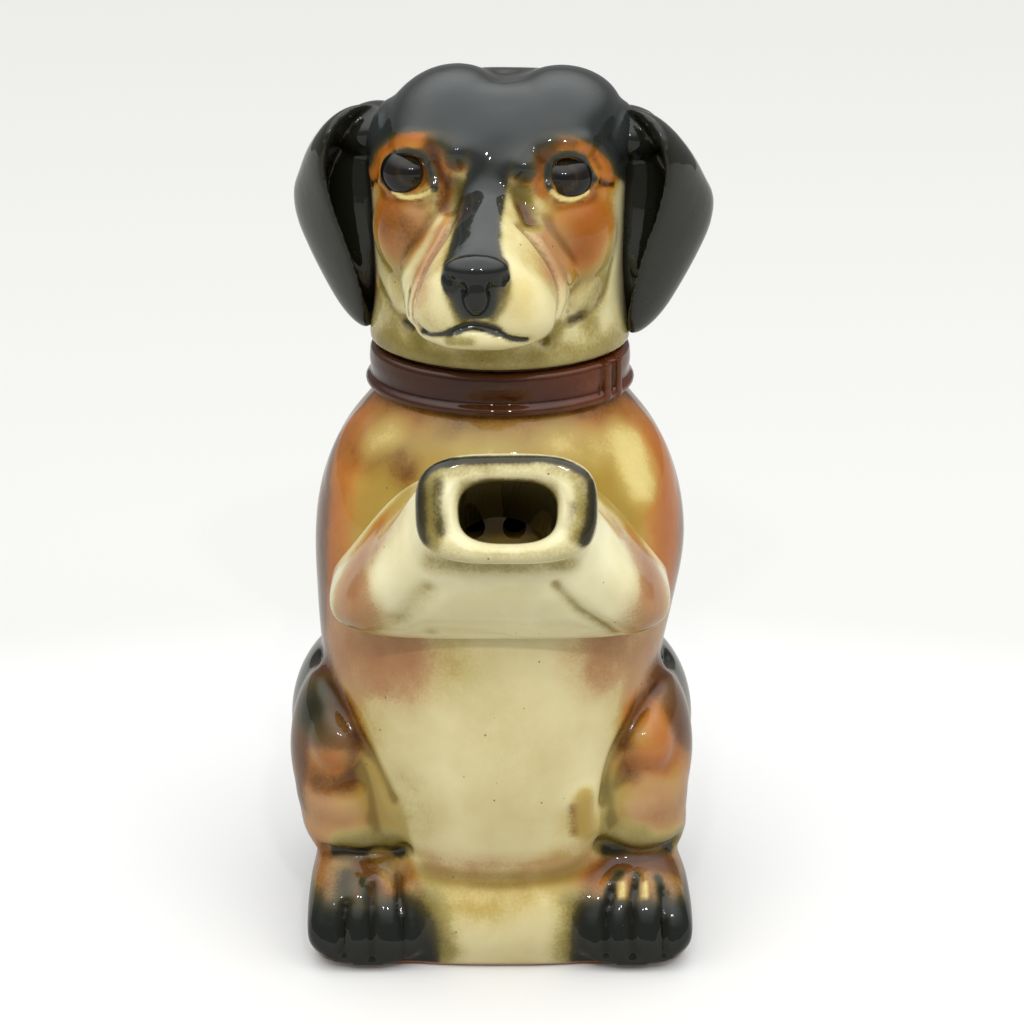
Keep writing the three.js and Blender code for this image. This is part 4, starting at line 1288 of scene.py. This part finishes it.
def group(name, inputs, outputs):
    """A node group with named inputs and outputs. An input is its kind and its value."""
    made = bpy.data.node_groups.new(name, "ShaderNodeTree")
    for key, (kind, value) in inputs.items():
        made.interface.new_socket(name=key, in_out="INPUT", socket_type=kind).default_value = value
    for key, kind in outputs.items():
        made.interface.new_socket(name=key, in_out="OUTPUT", socket_type=kind)
    start = made.nodes.new("NodeGroupInput")
    end = made.nodes.new("NodeGroupOutput")
    return made, start.outputs, end.inputs


NUMBER, COLOUR = "NodeSocketFloat", "NodeSocketColor"
print("node helpers ready")
# %% Groups: grain, airbrush, glaze and ripple
grain, given, out = group(
    "spray_grain", {"Fine": (NUMBER, 1500.0), "Broad": (NUMBER, 140.0), "Cloudy": (NUMBER, 42.0)},
    {"Grain": NUMBER, "Mottle": NUMBER, "Cloud": NUMBER, "Specks": NUMBER},
)
place = node(grain, "ShaderNodeTexCoord").outputs["Object"]
fine = node(grain, "ShaderNodeTexNoise", Vector=place, Scale=given["Fine"], Detail=2.0)
broad = node(grain, "ShaderNodeTexNoise", Vector=place, Scale=given["Broad"], Detail=3.0)
cloudy = node(grain, "ShaderNodeTexNoise", Vector=place, Scale=given["Cloudy"], Detail=4.0, Roughness=0.6)
cells = node(grain, "ShaderNodeTexVoronoi", Vector=place, Scale=420.0)
rare = node(grain, "ShaderNodeTexWhiteNoise", {"noise_dimensions": "3D"}, Vector=cells.outputs["Position"])
small = sums(grain, "LESS_THAN", cells.outputs["Distance"], 0.11)
few = sums(grain, "GREATER_THAN", rare.outputs["Value"], 0.93)
for value, name in (
    (fine.outputs[0], "Grain"), (broad.outputs[0], "Mottle"),
    (sums(grain, "MULTIPLY_ADD", cloudy.outputs[0], 3.0, -1.0, clamp=True), "Cloud"),
    (product(grain, small, few), "Specks"),
):
    grain.links.new(value, out[name])

airbrush, given, out = group(
    "airbrushed",
    {"Under": (COLOUR, (1, 1, 1, 1)), "Thin": (COLOUR, (0.5, 0.5, 0.5, 1)), "Stain": (COLOUR, (0, 0, 0, 1)),
     "Cover": (NUMBER, 0.0), "Grain": (NUMBER, 0.5), "Mottle": (NUMBER, 0.5), "Spatter": (NUMBER, 0.3),
     "Patches": (NUMBER, 0.65)},
    {"Color": COLOUR},
)
rim = product(airbrush, product(airbrush, given["Cover"], 4.0), sums(airbrush, "SUBTRACT", 1.0, given["Cover"]))
drops, patches = (
    product(airbrush, sums(airbrush, "SUBTRACT", given[noise], 0.5), given[amount])
    for noise, amount in (("Grain", "Spatter"), ("Mottle", "Patches"))
)
shift = sums(airbrush, "ADD", drops, patches)
cover = sums(airbrush, "ADD", given["Cover"], product(airbrush, rim, shift), clamp=True)
thinly = blend(airbrush, product(airbrush, cover, 1.7, clamp=True), given["Under"], given["Thin"])
fully = sums(airbrush, "MULTIPLY_ADD", cover, 1.35, -0.35, clamp=True)
airbrush.links.new(blend(airbrush, fully, thinly, given["Stain"]), out["Color"])

depth, given, out = group(
    "glaze_depth",
    {"Color": (COLOUR, (1, 1, 1, 1)), "Pool": (NUMBER, 0.0), "Edge": (NUMBER, 0.0), "Cloud": (NUMBER, 0.5),
     "Specks": (NUMBER, 0.0), "Pool Tint": (COLOUR, (0.42, 0.36, 0.16, 1)),
     "Edge Tint": (COLOUR, (0.9, 0.82, 0.5, 1))},
    {"Color": COLOUR},
)
shade = given["Color"]
for name, share, tint, kind in (
    ("Cloud", 0.42, (0.62, 0.55, 0.34, 1), "MULTIPLY"), ("Pool", 0.75, given["Pool Tint"], "MULTIPLY"),
    ("Edge", 0.045, given["Edge Tint"], "MIX"), ("Specks", 0.7, (0.05, 0.035, 0.015, 1), "MIX"),
):
    shade = blend(depth, product(depth, given[name], share), shade, tint, kind)
depth.links.new(shade, out["Color"])

ripple, given, out = group("orange_peel", {"Scale": (NUMBER, 260.0), "Depth": (NUMBER, 1.0)}, {"Height": NUMBER})
place = node(ripple, "ShaderNodeTexCoord").outputs["Object"]
swell = node(ripple, "ShaderNodeTexNoise", Vector=place, Scale=given["Scale"], Detail=1.0)
ripple.links.new(product(ripple, swell.outputs[0], given["Depth"]), out["Height"])
print("groups:", grain.name, airbrush.name, depth.name, ripple.name)
# %% Glazes
CREAM = (0.69, 0.61, 0.34)
BISCUIT = (0.47, 0.27, 0.17, 1)  # bare fired clay
RIPPLE = {"Strength": 0.12, "Distance": 0.0006}
COLOURS = {  # each stain where it is thin and where it is thick
    "amber": ((0.52, 0.40, 0.12), (0.36, 0.235, 0.04)),
    "orange": ((0.50, 0.25, 0.05), (0.40, 0.11, 0.010)),
    "pink": ((0.50, 0.31, 0.145), (0.34, 0.135, 0.05)),
    "olive": ((0.42, 0.35, 0.12), (0.16, 0.12, 0.02)),
    "brown": ((0.20, 0.075, 0.012), (0.065, 0.020, 0.005)),
    "black": ((0.075, 0.058, 0.014), (0.010, 0.012, 0.010)),
    # Straw is a pale cream for the lids' lines and the muzzle, and also serves for painted highlights and
    # reflections on the chest and toes.
    "straw_and_sheen": ((0.6, 0.46, 0.14), (0.8, 0.68, 0.3)),
}


def glazed(name, under, **colours):
    """A stained and glazed clay. Colours replace the usual stains."""
    material = bpy.data.materials.new(name)
    material.use_nodes = True
    tree = material.node_tree
    shader = tree.nodes["Principled BSDF"]

    def mask(kind):
        return node(tree, "ShaderNodeAttribute", {"attribute_name": kind}).outputs["Fac"]

    noise = node(tree, "ShaderNodeGroup", {"node_tree": grain}).outputs
    colour = (*under, 1)
    for stain, usual in COLOURS.items():
        thin, full = colours.get(stain, usual)
        colour = node(
            tree, "ShaderNodeGroup", {"node_tree": airbrush}, Under=colour, Thin=(*thin, 1), Stain=(*full, 1),
            Cover=mask(stain), Grain=noise["Grain"], Mottle=noise["Mottle"],
        ).outputs[0]
    colour = node(
        tree, "ShaderNodeGroup", {"node_tree": depth}, Color=colour, Pool=mask("pool"), Edge=mask("edge"),
        Cloud=noise["Cloud"], Specks=noise["Specks"],
    ).outputs[0]
    bare = mask("bare")
    linked(tree, blend(tree, bare, colour, BISCUIT), shader.inputs["Base Color"])
    linked(tree, sums(tree, "SUBTRACT", 1.0, bare), shader.inputs["Coat Weight"])
    linked(tree, sums(tree, "MULTIPLY_ADD", bare, 0.5, 0.32), shader.inputs["Roughness"])
    for key, value in (("Specular IOR Level", 0.0), ("Coat Roughness", 0.045), ("Coat IOR", 1.45)):
        shader.inputs[key].default_value = value
    height = node(tree, "ShaderNodeGroup", {"node_tree": ripple}).outputs[0]
    bump = node(tree, "ShaderNodeBump", Height=height, **RIPPLE).outputs[0]
    linked(tree, bump, shader.inputs["Coat Normal"])
    return material


body_glaze = glazed("body_glaze", CREAM)
spout_glaze = glazed("spout_glaze", (0.82, 0.77, 0.50), brown=((0.12, 0.08, 0.015), (0.05, 0.038, 0.006)))
head_glaze = glazed("head_glaze", (0.74, 0.67, 0.38), black=((0.075, 0.062, 0.02), (0.022, 0.026, 0.026)))
collar_glaze = glazed(
    "collar_glaze", (0.16, 0.03, 0.004), brown=((0.10, 0.02, 0.003), (0.040, 0.008, 0.001)),
    orange=((0.20, 0.045, 0.006), (0.28, 0.065, 0.008)),
)
black_glaze = glazed("black_glaze", (0.05, 0.04, 0.02), amber=((0.1, 0.08, 0.02), (0.16, 0.12, 0.03)))
eye_glaze = glazed("eye_glaze", (0.05, 0.03, 0.01), black=((0.02, 0.014, 0.006), (0.008, 0.007, 0.006)))
nose_glaze = glazed("nose_glaze", (0.05, 0.05, 0.045), black=((0.02, 0.02, 0.02), (0.012, 0.014, 0.013)))
for piece, material in (
    (body, body_glaze), (collar, collar_glaze), (forelegs, spout_glaze), (tail, black_glaze), (head, head_glaze),
    (left_ear, black_glaze), (right_ear, black_glaze), (eyes[0], eye_glaze), (eyes[1], eye_glaze),
    (nose, nose_glaze), (flange, head_glaze),
):
    piece.data.materials.clear()
    piece.data.materials.append(material)
    taken(piece)
    bpy.ops.object.shade_smooth_by_angle(angle=math.radians(50))
print("glazes:", ", ".join(material.name for material in bpy.data.materials))
# %% [markdown]
# ## Parts of the frame
# %% Bodies, and the parts they stand for
for piece, moves_with, stands_for, slot in (
    (body, "pot", "pot_body", "body_glaze"), (collar, "pot", "collar", "collar_glaze"),
    (forelegs, "pot", "foreleg_spout", "spout_glaze"), (tail, "pot", "tail_handle", "black_glaze"),
    (head, "lid", "head_lid", "head_glaze"), (left_ear, "lid", "ear_left", "black_glaze"),
    (right_ear, "lid", "ear_right", "black_glaze"),
):
    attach(piece, moves_with)
    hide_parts(stands_for)
for piece in (*eyes, nose, flange):
    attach(piece, "lid")
print("eleven pieces ride on the pot and the lid")
# %% [markdown]
# ## A plain studio
#
# A white room whose ceiling is the brightest part, so a highlight lies on all that faces up. A window on each side
# lights the clay but is kept out of its reflections. Two small lamps over the camera put crisp sparks on the
# glaze, and the floor catches a soft shadow.
# %% Floor and lamps
# The far part of the floor is darker: painted shade, as a backdrop standing out of the light would have.
PAPER, SHADED_FAR_PAPER = (0.70, 0.695, 0.683, 1), (0.60, 0.592, 0.572, 1)
DIM_PAPER = (0.42, 0.41, 0.385, 1)  # as the glaze and the clay see it
deselect()
bpy.ops.mesh.primitive_plane_add(size=6, location=(0, 0, 0))
floor = placed("floor")
paper = bpy.data.materials.new("floor_paper")
paper.use_nodes = True
tree = paper.node_tree
place = node(tree, "ShaderNodeTexCoord").outputs["Object"]
centre = node(tree, "ShaderNodeVectorMath", {"operation": "DISTANCE"}, _0=place, _1=(0.0, -0.3, 0.0))
far = ramp(tree, centre.outputs["Value"], 0.42, 0.50)  # metres
shown = blend(tree, far, PAPER, SHADED_FAR_PAPER)
seen_directly = node(tree, "ShaderNodeLightPath").outputs["Is Camera Ray"]
matt = tree.nodes["Principled BSDF"].inputs
linked(tree, blend(tree, seen_directly, DIM_PAPER, shown), matt["Base Color"])
matt["Roughness"].default_value = 0.7
matt["Specular IOR Level"].default_value = 0.2
floor.data.materials.append(paper)


def lamp(name, place, aim_height, size, power, colour=(1, 1, 1)):
    """A round lamp, in metres and watts, aimed at a height over the floor's middle."""
    deselect()
    way = Vector((0, 0, aim_height)) - Vector(place)
    bpy.ops.object.light_add(type="AREA", location=place, rotation=way.to_track_quat("-Z", "Y").to_euler())
    light = bpy.context.object
    light.name = name
    light.data.shape = "DISK"
    light.data.size = size
    light.data.energy = power
    light.data.color = colour
    return light


WARM = (1, 0.98, 0.94)
for name, place, power in (("left_window", (-1.5, -0.9, 0.9), 8), ("right_window", (1.5, -0.8, 1.0), 11)):
    lamp(name, place, 0.1, 1.9, power).visible_glossy = False
for name, place, power in (("spark_left", (-0.11, -0.78, 0.74), 1.0), ("spark_right", (0.14, -0.79, 0.76), 1.3)):
    lamp(name, place, 0.12, 0.05, power, WARM)
print("floor and lamps placed")
# %% Room
WALLS, CEILING = (0.24, 0.24, 0.24, 1), (2.05, 2.08, 2.1, 1)
BACKDROP = (0.93, 0.918, 0.885, 1)
world = bpy.context.scene.world or bpy.data.worlds.new("studio")
bpy.context.scene.world = world
world.use_nodes = True
tree = world.node_tree
way = node(tree, "ShaderNodeTexCoord").outputs["Generated"]
upwards = node(tree, "ShaderNodeSeparateXYZ", _0=way).outputs["Z"]
room = blend(tree, ramp(tree, upwards, 0.3, 0.9), WALLS, CEILING)
seen_directly = node(tree, "ShaderNodeLightPath").outputs["Is Camera Ray"]
backdrop = tree.nodes["Background"]
linked(tree, blend(tree, seen_directly, room, BACKDROP), backdrop.inputs["Color"])
backdrop.inputs["Strength"].default_value = 1.0
bpy.context.scene.view_settings.view_transform = "Standard"
print("room lit")
